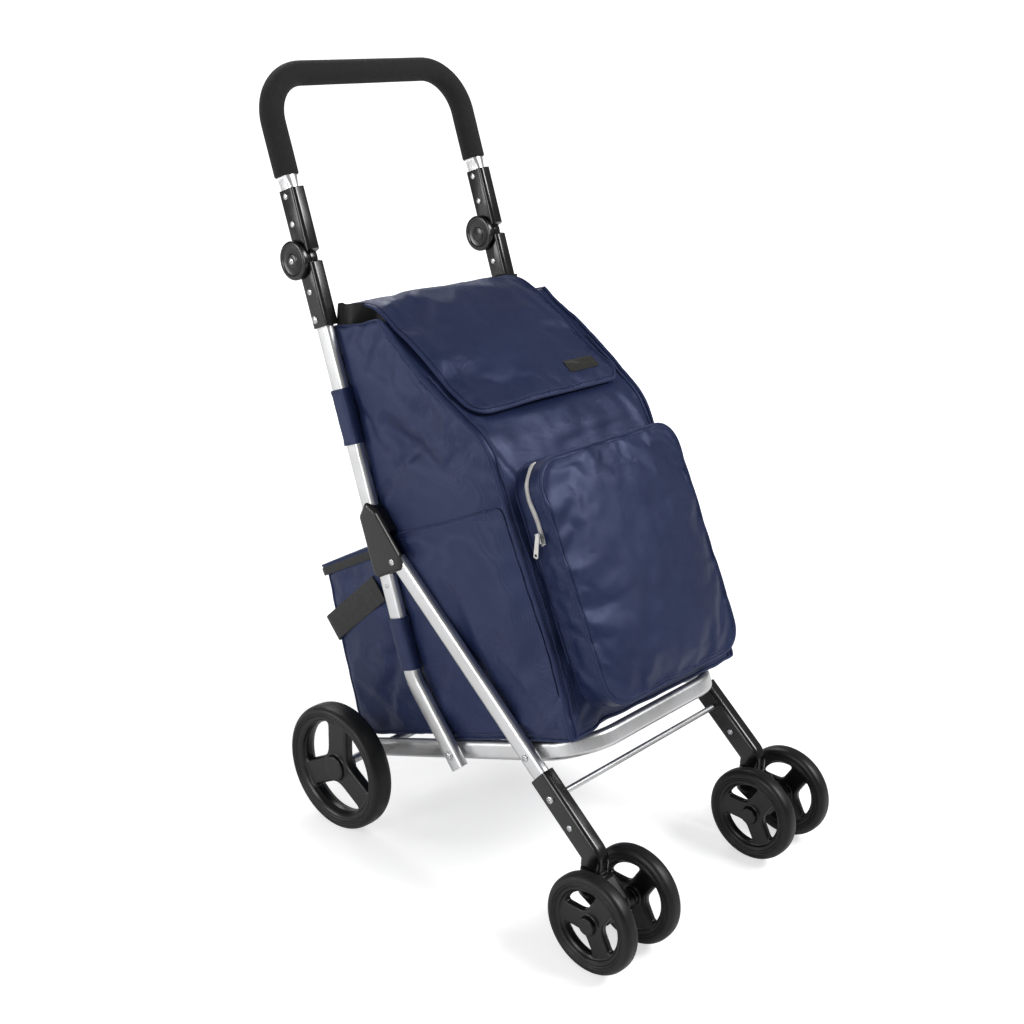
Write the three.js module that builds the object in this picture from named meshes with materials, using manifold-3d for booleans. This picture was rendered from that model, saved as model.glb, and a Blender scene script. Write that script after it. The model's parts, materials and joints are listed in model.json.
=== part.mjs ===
// Folding four-wheel shopping trolley: tube frame, swivel casters, main bag and rear cooler bag.
// Millimetres, +Z up, front towards -Y, origin on the floor under the middle of the trolley.
import * as THREE from 'three';
import { mergeVertices } from 'three/addons/utils/BufferGeometryUtils.js';
import Module from 'manifold-3d';

const wasm = await Module();
wasm.setup();

// ---------------------------------------------------------------- driving dimensions

const GAP = 0.4;
const RUNNING_PLAY = 0.4;

// flat-oval frame tube, centred on two side planes
const TUBE_X = 171;
const TUBE_THICK = 15;
const TUBE_DEEP = 25;

// side view of the frame, [y, z]
const POST_TOP = [266.4, 753];
const POST_BEND = [45.6, 232];
const POST_BEND_R = 60;
const POST_TAIL = 20;
const BASE_PIVOT = [-29.7, 153.7];
const LEG_PIVOT = [83, 391];
const LEG_ELBOW = [-272, 121.4];
const LEG_BASE_PIVOT = [-158, 207.9];

// moulded sleeves
const SLEEVE_DEEP = 32;
const SLEEVE_THICK = 21;
const SLEEVE_CORNER_R = 6;
const SLEEVE_FORWARD = 2.5;
const SOCKET_PLAY = 0.5;
const SOCKET_DEEP = 34;
const TUBE_INSERT = 28;
const LEG_SLEEVE_START = 28;
const LEG_ELBOW_R = 14;

// sliding brackets; the outline is [up the post, in front of the post]
const BRACKET_HALF = 11.4;
const BRACKET_MIDDLE_Z = 405;
const BRACKET_CORNER_R = 9;
const BRACKET_OUTLINE = [[-48, -17], [38, -18], [58, 3], [40, 21], [-20, 47], [-40, 40], [-43, 16]];
const BRACKET_SLOT_TOP = 12;
const BRACKET_SLOT_WALL = 14.2;

// handle hinge
const HINGE = [273.8, 745.6];
const HINGE_EYE_R = 17;
const LOWER_SLEEVE_Z = 667;
const UPPER_SLEEVE_LENGTH = 92;
const NOTCH_HALF_ANGLE = THREE.MathUtils.degToRad(16);
const KNOB_R = 25;
const KNOB_THICK = 7.5;
const KNOB_SCREW_R = 4.5;

// handle
const HANDLE_TOP_Z = 965;
const HANDLE_TUBE_R = 12.5;
const HANDLE_CORNER_R = 62;
const GRIP_R = 15.8;
const GRIP_START_Z = 846;

// base ring, lying in a plane that rises to the front
const AXLE = [127, 88];
const BASE_X = 152;
const BASE_REAR_TAIL = 16;
const BASE_FRONT = 379;
const BASE_CORNER_R = 66;

// bolts and rod
const BOLT_R = 4.5;
const BOLT_HEAD = 2.2;
const ROD_AT = [-205, 172.2];
const ROD_R = 4;

// rear wheels
const WHEEL_X = 225;
const REAR_WHEEL = { radius: 88, rim: 73, width: 33, bore: 6, boss: 14, segments: 28 };
const AXLE_HALF = 243;

// casters
const CASTER_Y = -272;
const CASTER_AXLE = [-307, 64];
const CASTER_WHEEL_OFFSET = 42;
const CASTER_WHEEL = { radius: 64, rim: 48, width: 23, bore: 5, boss: 13, segments: 24 };
const CASTER_PIN_HALF = 57;
const CASTER_TOP_Z = 105;
const FORK_HALF = 15;
const FORK_BOSS_R = 13;
const FORK_BOSS_HALF = 25;
const FORK_CORNER_R = 5;

// soft bag, side view [y, z]
const BAG_HALF = 156.5;
const BAG_SKIN = 3;
const BAG_FRONT = [[150, 687], [-42.7, 580.4], [-222, 255]];
const BAG_KNEE_R = 70;
const BAG_REAR_TOP = [225, 668];
const BAG_REAR_BOTTOM = [11, 152];
const MOUTH_FRONT_Y = 62;
const MOUTH_Z = [627, 717];
const COLLAR_HALF = 149;
const COLLAR_SKIN = 2;
const COLLAR_DEEP = 32;
const LID_HALF = 142;
const LID_CORNER_R = 26;
const LID_THICK = 3;
const LID_LINE = [[227.5, 687.7], [186.6, 712.9], [-14, 602]];
const LID_CREST_R = 80;
const LABEL = { x: [57, 115], start: 25, length: 20, thick: 1 };
const SIDE_POCKET = [[118, 408], [-63, 498], [-96, 476], [-208, 254], [12, 159]];
const SIDE_POCKET_THICK = 1.6;

// front pocket
const POCKET_HALF = 138;
const POCKET_LENGTH = 312;
const POCKET_DEEP = 42;
const POCKET_STANDOFF = 5;
const POCKET_CORNER_R = 32;
const POCKET_BEVEL = 4;
const POCKET_TOP = [-66, 549];
const POCKET_BOTTOM = [-216, 272];

// zip round the pocket's corner
const ZIP_HEIGHT = 20;
const ZIP_LENGTH = 98;
const ZIP_WIDTH = 7;
const ZIP_THICK = 1.8;
const ZIP_CORNER_TURN = THREE.MathUtils.degToRad(76);
const ZIP_CORNER_STEPS = 6;
const SLIDER = { thick: 3, length: 13, width: 9, down: 89, out: 4 };
const PULL = { length: 30, width: 7.2, thick: 1.2, below: 5 };

// fabric loops round the posts, between two heights
const LOOP_WALL = 1.8;
const LOOP_PLAY = 0.7;
const UPPER_LOOP_Z = [525, 592];
const LOWER_LOOP_Z = [246, 311];

// cooler bag
const COOLER_HALF = 147;
const COOLER_SKIN = 4;
const COOLER_SIDE = [[118, 390], [246, 312], [211, 206], [166, 90], [16, 155]];
const COOLER_LID_LINE = [[122.5, 401], [266, 313]];
const COOLER_LID_THICK = 9;
const COOLER_LID_MARGIN = 3;
const STRAP_LINE = [[138, 326], [236, 226]];
const STRAP_X = COOLER_HALF + 5;
const STRAP_HALF_WIDTH = 18;
const STRAP_THICK = 1.8;
const STRAP_CORNER_R = 16;

// facets of the round stretches
const TUBE_FACETS = 3;
const BEND_STEPS = 5;
const HEAD_SEGMENTS = 14;
const BAR_SEGMENTS = 18;
const EYE_SEGMENTS = 26;

const SIDES = { left: -1, right: 1 };

// ---------------------------------------------------------------- materials

function metal(name, color, roughness) {
  return new THREE.MeshStandardMaterial({ name, color, roughness, metalness: 1 });
}

function plain(name, color, roughness) {
  return new THREE.MeshStandardMaterial({ name, color, roughness, metalness: 0 });
}

const SILVER = metal('anodised_aluminium', 0xd6d6d8, 0.32);
const STEEL = metal('zinc_steel', 0xb8b9bb, 0.3);
const BLACK = plain('black_plastic', 0x17171a, 0.35);
const FOAM = plain('foam_grip', 0x2b2b2d, 0.9);
const TYRE = plain('tyre_rubber', 0x1c1c1e, 0.75);
const NAVY = plain('navy_polyester', 0x28305a, 0.5);
const DARK = plain('black_fabric', 0x18181a, 0.8);
const PATCH = plain('label_patch', 0x1e1e1c, 0.6);
const ZIP = plain('zip_white', 0xdcdad4, 0.45);

// ---------------------------------------------------------------- points and lines in side view

const group = new THREE.Group();
group.name = 'folding_shopping_trolley';

function place(name, geometry, material) {
  const mesh = new THREE.Mesh(geometry, material);
  mesh.name = name;
  group.add(mesh);
}

function side(x, yz) {
  return new THREE.Vector3(x, yz[0], yz[1]);
}

function unit(from, to) {
  const dy = to[0] - from[0];
  const dz = to[1] - from[1];
  const length = Math.hypot(dy, dz);
  return [dy / length, dz / length];
}

function along(from, direction, distance) {
  return [from[0] + direction[0] * distance, from[1] + direction[1] * distance];
}

function quarterTurn(direction) {
  return [-direction[1], direction[0]];
}

function reversed(direction) {
  return [-direction[0], -direction[1]];
}

function turned(direction, angle) {
  const front = quarterTurn(direction);
  return [
    direction[0] * Math.cos(angle) + front[0] * Math.sin(angle),
    direction[1] * Math.cos(angle) + front[1] * Math.sin(angle),
  ];
}

function onLineAtZ(from, to, z) {
  const share = (z - from[1]) / (to[1] - from[1]);
  return [from[0] + (to[0] - from[0]) * share, z];
}

// Corner points joined by straights, each inner corner rounded to the radius.
function filleted(corners, radius, steps) {
  const points = [corners[0].clone()];
  for (let i = 1; i < corners.length - 1; i += 1) {
    const into = corners[i].clone().sub(corners[i - 1]).normalize();
    const out = corners[i + 1].clone().sub(corners[i]).normalize();
    const turn = into.angleTo(out);
    const start = corners[i].clone().addScaledVector(into, -radius * Math.tan(turn / 2));
    const inward = out.clone().addScaledVector(into, -out.dot(into)).normalize();
    for (let k = 0; k <= steps; k += 1) {
      const angle = (turn * k) / steps;
      const point = start.clone();
      point.addScaledVector(into, radius * Math.sin(angle));
      point.addScaledVector(inward, radius * (1 - Math.cos(angle)));
      points.push(point);
    }
  }
  points.push(corners[corners.length - 1].clone());
  return points;
}

function filletedLine(line, radius, steps) {
  const points = filleted(line.map((yz) => side(0, yz)), radius, steps);
  return points.map((point) => [point.y, point.z]);
}

// A closed outline with every corner rounded.
function roundedOutline(corners, radius, steps) {
  const first = corners[0];
  const last = corners[corners.length - 1];
  const seam = [(first[0] + last[0]) / 2, (first[1] + last[1]) / 2];
  return filletedLine([seam, ...corners, seam], radius, steps).slice(0, -1);
}

// The same line moved sideways, to the left of its direction.
function insetLine(line, distance) {
  return line.map((point, i) => {
    const before = line[Math.max(i - 1, 0)];
    const after = line[Math.min(i + 1, line.length - 1)];
    return along(point, quarterTurn(unit(before, after)), distance);
  });
}

// ---------------------------------------------------------------- solids

// A path that passes through its points exactly, one extrusion step per point.
class StationPath extends THREE.Curve {
  constructor(points) {
    super();
    this.points = points;
  }

  getPoint(t) {
    const last = this.points.length - 1;
    const index = Math.min(Math.floor(t * last + 1e-9), last - 1);
    return this.points[index].clone().lerp(this.points[index + 1], t * last - index);
  }

  getPointAt(t) {
    return this.getPoint(t);
  }

  getTangent(t) {
    const last = this.points.length - 1;
    const index = Math.round(t * last);
    const here = this.points[index];
    const tangent = new THREE.Vector3();
    if (index > 0) {
      tangent.add(here.clone().sub(this.points[index - 1]).normalize());
    }
    if (index < last) {
      tangent.add(this.points[index + 1].clone().sub(here).normalize());
    }
    return tangent.normalize();
  }

  getTangentAt(t) {
    return this.getTangent(t);
  }
}

// On a path in the side planes the shape's x lies across the trolley and its y across the path.
function sweep(shape, points, curveSegments) {
  return new THREE.ExtrudeGeometry(shape, {
    steps: points.length - 1,
    extrudePath: new StationPath(points),
    curveSegments,
  });
}

function roundedShape(halfX, halfY, radius, shiftY) {
  const shape = new THREE.Shape();
  const low = shiftY - halfY;
  const high = shiftY + halfY;
  shape.moveTo(halfX - radius, low);
  shape.absarc(halfX - radius, low + radius, radius, -Math.PI / 2, 0);
  shape.absarc(halfX - radius, high - radius, radius, 0, Math.PI / 2);
  shape.absarc(radius - halfX, high - radius, radius, Math.PI / 2, Math.PI);
  shape.absarc(radius - halfX, low + radius, radius, Math.PI, Math.PI * 1.5);
  return shape;
}

function tubeShape(play) {
  const halfX = TUBE_THICK / 2 + play;
  return roundedShape(halfX, TUBE_DEEP / 2 + play, halfX - 1, 0);
}

function sleeveShape(forward) {
  return roundedShape(SLEEVE_THICK / 2, SLEEVE_DEEP / 2, SLEEVE_CORNER_R, forward);
}

function discShape(radius) {
  const shape = new THREE.Shape();
  shape.absarc(0, 0, radius, 0, Math.PI * 2);
  return shape;
}

function slabFromShape(shape, from, to, curveSegments) {
  const geometry = new THREE.ExtrudeGeometry(shape, {
    depth: Math.abs(to - from),
    bevelEnabled: false,
    curveSegments,
  });
  const turn = new THREE.Matrix4();
  turn.makeBasis(
    new THREE.Vector3(0, 1, 0),
    new THREE.Vector3(0, 0, 1),
    new THREE.Vector3(1, 0, 0),
  );
  geometry.applyMatrix4(turn);
  geometry.translate(Math.min(from, to), 0, 0);
  return geometry;
}

// A bar along X whose outline is drawn in side view, [y, z].
function sideSlab(outline, from, to) {
  const shape = new THREE.Shape(outline.map(([y, z]) => new THREE.Vector2(y, z)));
  return slabFromShape(shape, from, to, 1);
}

function rodAlongX(radius, from, to, yz, segments) {
  const geometry = new THREE.CylinderGeometry(radius, radius, Math.abs(to - from), segments);
  geometry.rotateZ(Math.PI / 2);
  geometry.translate((from + to) / 2, yz[0], yz[1]);
  return geometry;
}

// Turned about X: profile is [radius, x] pairs, x measured from the part's own middle.
function turnedAboutX(profile, segments, x, yz) {
  const closed = [...profile, profile[0]];
  const points = closed.map(([radius, height]) => new THREE.Vector2(radius, height));
  const geometry = new THREE.LatheGeometry(points, segments);
  geometry.rotateZ(-Math.PI / 2);
  geometry.translate(x, yz[0], yz[1]);
  return geometry;
}

function toSolid(geometry) {
  const bare = geometry.clone();
  bare.deleteAttribute('normal');
  bare.deleteAttribute('uv');
  const merged = mergeVertices(bare, 1e-4);
  return new wasm.Manifold(new wasm.Mesh({
    numProp: 3,
    vertProperties: new Float32Array(merged.attributes.position.array),
    triVerts: new Uint32Array(merged.index.array),
  }));
}

function toGeometry(solid) {
  const mesh = solid.getMesh();
  const geometry = new THREE.BufferGeometry();
  geometry.setAttribute('position', new THREE.BufferAttribute(mesh.vertProperties, 3));
  geometry.setIndex(new THREE.BufferAttribute(mesh.triVerts, 1));
  geometry.computeVertexNormals();
  return geometry;
}

function subtract(base, ...tools) {
  let solid = toSolid(base);
  for (const tool of tools) {
    solid = solid.subtract(toSolid(tool));
  }
  return toGeometry(solid);
}

function add(base, ...others) {
  let solid = toSolid(base);
  for (const other of others) {
    solid = solid.add(toSolid(other));
  }
  return toGeometry(solid);
}

function intersect(base, tool) {
  return toGeometry(toSolid(base).intersect(toSolid(tool)));
}

// ---------------------------------------------------------------- frame directions

const POST_UP = unit(POST_BEND, POST_TOP);
const POST_FRONT = quarterTurn(POST_UP);
const TAIL_DOWN = unit(POST_BEND, BASE_PIVOT);
const LEG_DOWN = unit(LEG_PIVOT, LEG_ELBOW);
const BASE_FORWARD = unit(AXLE, LEG_BASE_PIVOT);

function onPost(z) {
  return onLineAtZ(POST_BEND, POST_TOP, z);
}

function onBase(forward) {
  return along(AXLE, BASE_FORWARD, forward);
}

const HINGE_LEVEL = onPost(HINGE[1]);

// ---------------------------------------------------------------- frame tubes

function postTube(x) {
  const tail = along(BASE_PIVOT, TAIL_DOWN, POST_TAIL);
  const top = along(onPost(LOWER_SLEEVE_Z), POST_UP, TUBE_INSERT);
  const corners = [side(x, tail), side(x, POST_BEND), side(x, top)];
  return sweep(tubeShape(0), filleted(corners, POST_BEND_R, BEND_STEPS), TUBE_FACETS);
}

function legTube(x) {
  const low = along(LEG_BASE_PIVOT, LEG_DOWN, LEG_SLEEVE_START + TUBE_INSERT);
  return sweep(tubeShape(0), [side(x, LEG_PIVOT), side(x, low)], TUBE_FACETS);
}

// One U-shaped tube, open to the rear, bored for the rear axle.
function baseRing() {
  const rear = onBase(-BASE_REAR_TAIL);
  const front = onBase(BASE_FRONT);
  const corners = [side(-BASE_X, rear), side(-BASE_X, front), side(BASE_X, front), side(BASE_X, rear)];
  const ring = sweep(tubeShape(0), filleted(corners, BASE_CORNER_R, BEND_STEPS), TUBE_FACETS);
  const reach = BASE_X + TUBE_THICK;
  const bore = rodAlongX(REAR_WHEEL.bore + RUNNING_PLAY, -reach, reach, AXLE, BAR_SEGMENTS);
  return subtract(ring, bore);
}

function buildFrameTubes() {
  for (const [name, sign] of Object.entries(SIDES)) {
    place(`post_tube_${name}`, postTube(sign * TUBE_X), SILVER);
    place(`front_leg_tube_${name}`, legTube(sign * TUBE_X), SILVER);
  }
  place('base_ring', baseRing(), SILVER);
}

// ---------------------------------------------------------------- moulded sleeves

function straightSweep(x, from, to, shape) {
  return sweep(shape, [side(x, from), side(x, to)], TUBE_FACETS);
}

// The hinge is a lap joint: each sleeve's eye takes one half of the thickness.
function hingeEye(x, towards) {
  const near = x + towards * GAP;
  const far = x + (towards * SLEEVE_THICK) / 2;
  return rodAlongX(HINGE_EYE_R, near, far, HINGE, EYE_SEGMENTS);
}

function hingeRelief(x, towards) {
  const near = x - towards * GAP;
  const far = x + towards * SLEEVE_THICK;
  return rodAlongX(HINGE_EYE_R + GAP, near, far, HINGE, EYE_SEGMENTS);
}

// Everything past the hinge, with a wedge in front of it that lets the handle tip forward.
function pastHinge(x, away, wedgeTurn) {
  const reach = 60;
  const front = turned(POST_FRONT, wedgeTurn);
  const start = along(HINGE, away, -GAP);
  const back = along(start, POST_FRONT, -reach);
  const tip = along(start, front, reach);
  const outline = [back, start, tip, along(tip, away, reach), along(back, away, reach)];
  return sideSlab(outline, x - SLEEVE_THICK, x + SLEEVE_THICK);
}

function lowerSleeve(x, sign) {
  const bottom = onPost(LOWER_SLEEVE_Z);
  const top = along(HINGE_LEVEL, POST_UP, HINGE_EYE_R);
  const body = straightSweep(x, bottom, top, sleeveShape(SLEEVE_FORWARD));
  const socketFloor = along(bottom, POST_UP, SOCKET_DEEP);
  const socket = straightSweep(x, along(bottom, POST_UP, -1), socketFloor, tubeShape(SOCKET_PLAY));
  const cut = pastHinge(x, POST_UP, NOTCH_HALF_ANGLE);
  return add(subtract(body, cut, hingeRelief(x, -sign), socket), hingeEye(x, sign));
}

function upperSleeve(x, sign) {
  const bottom = along(HINGE_LEVEL, POST_UP, -HINGE_EYE_R);
  const top = along(HINGE_LEVEL, POST_UP, UPPER_SLEEVE_LENGTH);
  const body = straightSweep(x, bottom, top, sleeveShape(SLEEVE_FORWARD));
  const socketFloor = along(top, POST_UP, -SOCKET_DEEP);
  const socket = straightSweep(x, socketFloor, along(top, POST_UP, 1), tubeShape(SOCKET_PLAY));
  const cut = pastHinge(x, reversed(POST_UP), -NOTCH_HALF_ANGLE);
  return add(subtract(body, cut, hingeRelief(x, sign), socket), hingeEye(x, -sign));
}

function legSleeve(x) {
  const start = along(LEG_BASE_PIVOT, LEG_DOWN, LEG_SLEEVE_START);
  const foot = [CASTER_Y, CASTER_TOP_Z + GAP];
  const corners = [side(x, start), side(x, LEG_ELBOW), side(x, foot)];
  const body = sweep(sleeveShape(0), filleted(corners, LEG_ELBOW_R, BEND_STEPS), TUBE_FACETS);
  const socketFloor = along(start, LEG_DOWN, SOCKET_DEEP);
  const socket = straightSweep(x, along(start, LEG_DOWN, -1), socketFloor, tubeShape(SOCKET_PLAY));
  return subtract(body, socket);
}

function buildSleeves() {
  for (const [name, sign] of Object.entries(SIDES)) {
    const x = sign * TUBE_X;
    place(`hinge_sleeve_lower_${name}`, lowerSleeve(x, sign), BLACK);
    place(`hinge_sleeve_upper_${name}`, upperSleeve(x, sign), BLACK);
    place(`front_leg_sleeve_${name}`, legSleeve(x), BLACK);
  }
}

// ---------------------------------------------------------------- handle

function archPath(start) {
  const top = onPost(HANDLE_TOP_Z);
  const corners = [side(-TUBE_X, start), side(-TUBE_X, top), side(TUBE_X, top), side(TUBE_X, start)];
  return filleted(corners, HANDLE_CORNER_R, BEND_STEPS);
}

// Round tube arch, flattened to the tube section where it enters the sleeves.
function handleTube() {
  const start = along(HINGE_LEVEL, POST_UP, UPPER_SLEEVE_LENGTH + GAP);
  let tube = sweep(discShape(HANDLE_TUBE_R), archPath(start), TUBE_FACETS + 1);
  const tongueLow = along(start, POST_UP, -TUBE_INSERT);
  const tongueHigh = along(start, POST_UP, TUBE_THICK / 2);
  for (const sign of Object.values(SIDES)) {
    tube = add(tube, straightSweep(sign * TUBE_X, tongueLow, tongueHigh, tubeShape(0)));
  }
  return tube;
}

function gripFoam() {
  const ring = discShape(GRIP_R);
  const bore = new THREE.Path();
  bore.absarc(0, 0, HANDLE_TUBE_R + GAP, 0, Math.PI * 2, true);
  ring.holes.push(bore);
  return sweep(ring, archPath(onPost(GRIP_START_Z)), TUBE_FACETS + 1);
}

function knob(face) {
  const edge = 2.4;
  const profile = [
    [0, 0], [KNOB_R - edge, 0], [KNOB_R, edge], [KNOB_R, KNOB_THICK - edge],
    [KNOB_R - edge, KNOB_THICK], [0, KNOB_THICK],
  ];
  const points = profile.map(([radius, height]) => new THREE.Vector2(radius, height));
  const geometry = new THREE.LatheGeometry(points, EYE_SEGMENTS);
  geometry.rotateZ(Math.PI / 2);
  geometry.translate(face, HINGE[0], HINGE[1]);
  return geometry;
}

// Both knobs sit on the -X face of their post; only the left one shows a screw.
function buildKnobs() {
  for (const [name, sign] of Object.entries(SIDES)) {
    place(`hinge_knob_${name}`, knob(sign * TUBE_X - SLEEVE_THICK / 2 - GAP), BLACK);
  }
  const face = -TUBE_X - SLEEVE_THICK / 2 - GAP * 2 - KNOB_THICK;
  const screw = rodAlongX(KNOB_SCREW_R, face - BOLT_HEAD, face, HINGE, HEAD_SEGMENTS);
  place('hinge_knob_screw_left', screw, STEEL);
}

function buildHandle() {
  place('handle_tube', handleTube(), SILVER);
  place('handle_grip_foam', gripFoam(), FOAM);
  buildKnobs();
}

// ---------------------------------------------------------------- sliding brackets and pivots

// Moulded clevis: the post runs through it and the front leg hangs from its front bolt.
function bracket(x) {
  const middle = onPost(BRACKET_MIDDLE_Z);
  const at = (up, front) => along(along(middle, POST_UP, up), POST_FRONT, front);
  const outline = roundedOutline(BRACKET_OUTLINE, BRACKET_CORNER_R, 4);
  const block = sideSlab(outline.map(([up, front]) => at(up, front)), x - BRACKET_HALF, x + BRACKET_HALF);
  const reach = 90;
  const channel = straightSweep(x, at(-reach, 0), at(reach, 0), tubeShape(SOCKET_PLAY));
  const slotHalf = TUBE_THICK / 2 + GAP;
  const slotOutline = [
    at(BRACKET_SLOT_TOP, BRACKET_SLOT_WALL), at(BRACKET_SLOT_TOP, reach), at(-reach, reach),
    at(-reach, BRACKET_SLOT_WALL),
  ];
  return subtract(block, channel, sideSlab(slotOutline, x - slotHalf, x + slotHalf));
}

function boltHead(face, sign, yz) {
  return rodAlongX(BOLT_R, face, face + sign * BOLT_HEAD, yz, HEAD_SEGMENTS);
}

function buildPivots() {
  for (const [name, sign] of Object.entries(SIDES)) {
    const x = sign * TUBE_X;
    place(`slide_bracket_${name}`, bracket(x), BLACK);
    place(`bracket_bolt_${name}`, boltHead(x + sign * (BRACKET_HALF + GAP), sign, LEG_PIVOT), STEEL);
    const tubeFace = x + sign * (TUBE_THICK / 2 + GAP);
    place(`base_pivot_bolt_${name}`, boltHead(tubeFace, sign, BASE_PIVOT), STEEL);
    place(`leg_pivot_bolt_${name}`, boltHead(tubeFace, sign, LEG_BASE_PIVOT), STEEL);
  }
  const half = TUBE_X - SLEEVE_THICK / 2 - GAP;
  place('cross_rod', rodAlongX(ROD_R, -half, half, ROD_AT, HEAD_SEGMENTS), SILVER);
}

// ---------------------------------------------------------------- wheels

// Rubber ring with a rounded tread that stays level over its middle.
function tyre(x, yz, wheel) {
  const half = wheel.width / 2;
  const seat = half - 3;
  const steps = 5;
  const shoulder = THREE.MathUtils.degToRad(75);
  const crown = (wheel.radius - wheel.rim) * 0.85;
  const profile = [[wheel.rim + GAP, -seat]];
  for (let i = 0; i <= steps; i += 1) {
    const angle = shoulder * ((2 * i) / steps - 1);
    const fall = 1 - Math.cos(angle) / Math.cos(shoulder / steps);
    profile.push([wheel.radius - crown * fall, half * Math.sin(angle)]);
  }
  profile.push([wheel.rim + GAP, seat]);
  return turnedAboutX(profile, wheel.segments, x, yz);
}

// Three broad arms that flare out of the boss.
function armsShape(radius) {
  const shape = new THREE.Shape();
  const rootR = radius * 0.42;
  const reach = radius - 4;
  const spread = Math.asin((radius * 0.22) / reach);
  const fan = 0.72;
  for (let i = 0; i < 3; i += 1) {
    const angle = Math.PI / 2 + (i * Math.PI * 2) / 3;
    const corners = [
      [reach, angle - spread], [reach, angle + spread], [rootR, angle + fan],
      [rootR, angle + (Math.PI * 2) / 3 - fan],
    ];
    for (const [r, a] of corners) {
      shape[shape.curves.length || i ? 'lineTo' : 'moveTo'](r * Math.cos(a), r * Math.sin(a));
    }
  }
  return shape;
}

function wheelCentre(x, yz, wheel) {
  const rimHalf = wheel.width / 2 - 4;
  const rimWall = 6;
  const plateHalf = 4;
  const inner = wheel.rim - rimWall;
  const section = [[wheel.rim, -rimHalf], [wheel.rim, rimHalf], [inner, rimHalf], [inner, -rimHalf]];
  const rim = turnedAboutX(section, wheel.segments, x, yz);
  const plate = slabFromShape(armsShape(wheel.rim), -plateHalf, plateHalf, 1);
  plate.translate(x, yz[0], yz[1]);
  const boss = rodAlongX(wheel.rim * 0.24, x - wheel.boss, x + wheel.boss, yz, BAR_SEGMENTS);
  const reach = wheel.boss + 1;
  const bore = rodAlongX(wheel.bore + RUNNING_PLAY, x - reach, x + reach, yz, HEAD_SEGMENTS);
  return subtract(add(rim, plate, boss), bore);
}

function buildRearWheels() {
  const axle = rodAlongX(REAR_WHEEL.bore, -AXLE_HALF, AXLE_HALF, AXLE, BAR_SEGMENTS);
  place('rear_axle', axle, STEEL);
  for (const [name, sign] of Object.entries(SIDES)) {
    const x = sign * WHEEL_X;
    place(`rear_tyre_${name}`, tyre(x, AXLE, REAR_WHEEL), TYRE);
    place(`rear_wheel_centre_${name}`, wheelCentre(x, AXLE, REAR_WHEEL), BLACK);
  }
}

// Swivel housing under the sleeve, with one trailing arm down to the axle boss.
function casterFork(x) {
  const housing = new THREE.CylinderGeometry(16.5, 18, 34, EYE_SEGMENTS);
  housing.rotateX(Math.PI / 2);
  housing.translate(x, CASTER_Y, CASTER_TOP_Z - 17);
  const [axleY, axleZ] = CASTER_AXLE;
  const corners = [
    [CASTER_Y + 15, CASTER_TOP_Z - 5], [CASTER_Y - 22, CASTER_TOP_Z - 6],
    [CASTER_Y - 46, CASTER_TOP_Z - 26], [axleY - 16, axleZ], [axleY - 9, axleZ - 13],
    [axleY + 9, axleZ - 13], [CASTER_Y + 12, CASTER_TOP_Z - 37],
  ];
  const arm = sideSlab(roundedOutline(corners, FORK_CORNER_R, 2), x - FORK_HALF, x + FORK_HALF);
  const boss = rodAlongX(FORK_BOSS_R, x - FORK_BOSS_HALF, x + FORK_BOSS_HALF, CASTER_AXLE, BAR_SEGMENTS);
  const reach = FORK_BOSS_HALF + 1;
  const boreR = CASTER_WHEEL.bore + RUNNING_PLAY;
  const bore = rodAlongX(boreR, x - reach, x + reach, CASTER_AXLE, HEAD_SEGMENTS);
  return subtract(add(housing, arm, boss), bore);
}

function buildCasters() {
  for (const [name, sign] of Object.entries(SIDES)) {
    const x = sign * TUBE_X;
    place(`caster_fork_${name}`, casterFork(x), BLACK);
    const ends = [x - CASTER_PIN_HALF, x + CASTER_PIN_HALF];
    const pin = rodAlongX(CASTER_WHEEL.bore, ends[0], ends[1], CASTER_AXLE, HEAD_SEGMENTS);
    place(`caster_pin_${name}`, pin, STEEL);
    for (const [which, outward] of [['outer', sign], ['inner', -sign]]) {
      const wheelX = x + outward * CASTER_WHEEL_OFFSET;
      place(`caster_tyre_${name}_${which}`, tyre(wheelX, CASTER_AXLE, CASTER_WHEEL), TYRE);
      const centre = wheelCentre(wheelX, CASTER_AXLE, CASTER_WHEEL);
      place(`caster_centre_${name}_${which}`, centre, BLACK);
    }
  }
}

// ---------------------------------------------------------------- main bag

const BAG_PROFILE = filletedLine(BAG_FRONT, BAG_KNEE_R, BEND_STEPS);
const LID_PROFILE = filletedLine(LID_LINE, LID_CREST_R, BEND_STEPS + 1);

function bagOutline(inset) {
  const bottomFront = BAG_FRONT[2];
  const floor = unit(BAG_REAR_BOTTOM, bottomFront);
  const up = reversed(quarterTurn(floor));
  const rearFront = quarterTurn(unit(BAG_REAR_BOTTOM, BAG_REAR_TOP));
  const front = insetLine(BAG_PROFILE, inset).slice(0, -1);
  const frontLow = along(along(bottomFront, up, inset * 1.2), floor, -inset * 1.6);
  const rearLow = along(along(BAG_REAR_BOTTOM, up, inset), rearFront, inset);
  return [...front, frontLow, rearLow, along(BAG_REAR_TOP, rearFront, inset)];
}

function bagBody() {
  const half = BAG_HALF - BAG_SKIN;
  const outer = sideSlab(bagOutline(0), -BAG_HALF, BAG_HALF);
  const inner = sideSlab(bagOutline(BAG_SKIN), -half, half);
  const rearY = BAG_REAR_TOP[0] - BAG_SKIN * 2;
  const mouthOutline = [
    [MOUTH_FRONT_Y, MOUTH_Z[0]], [rearY, MOUTH_Z[0]], [rearY, MOUTH_Z[1]],
    [MOUTH_FRONT_Y, MOUTH_Z[1]],
  ];
  return subtract(outer, inner, sideSlab(mouthOutline, -half, half));
}

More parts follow.
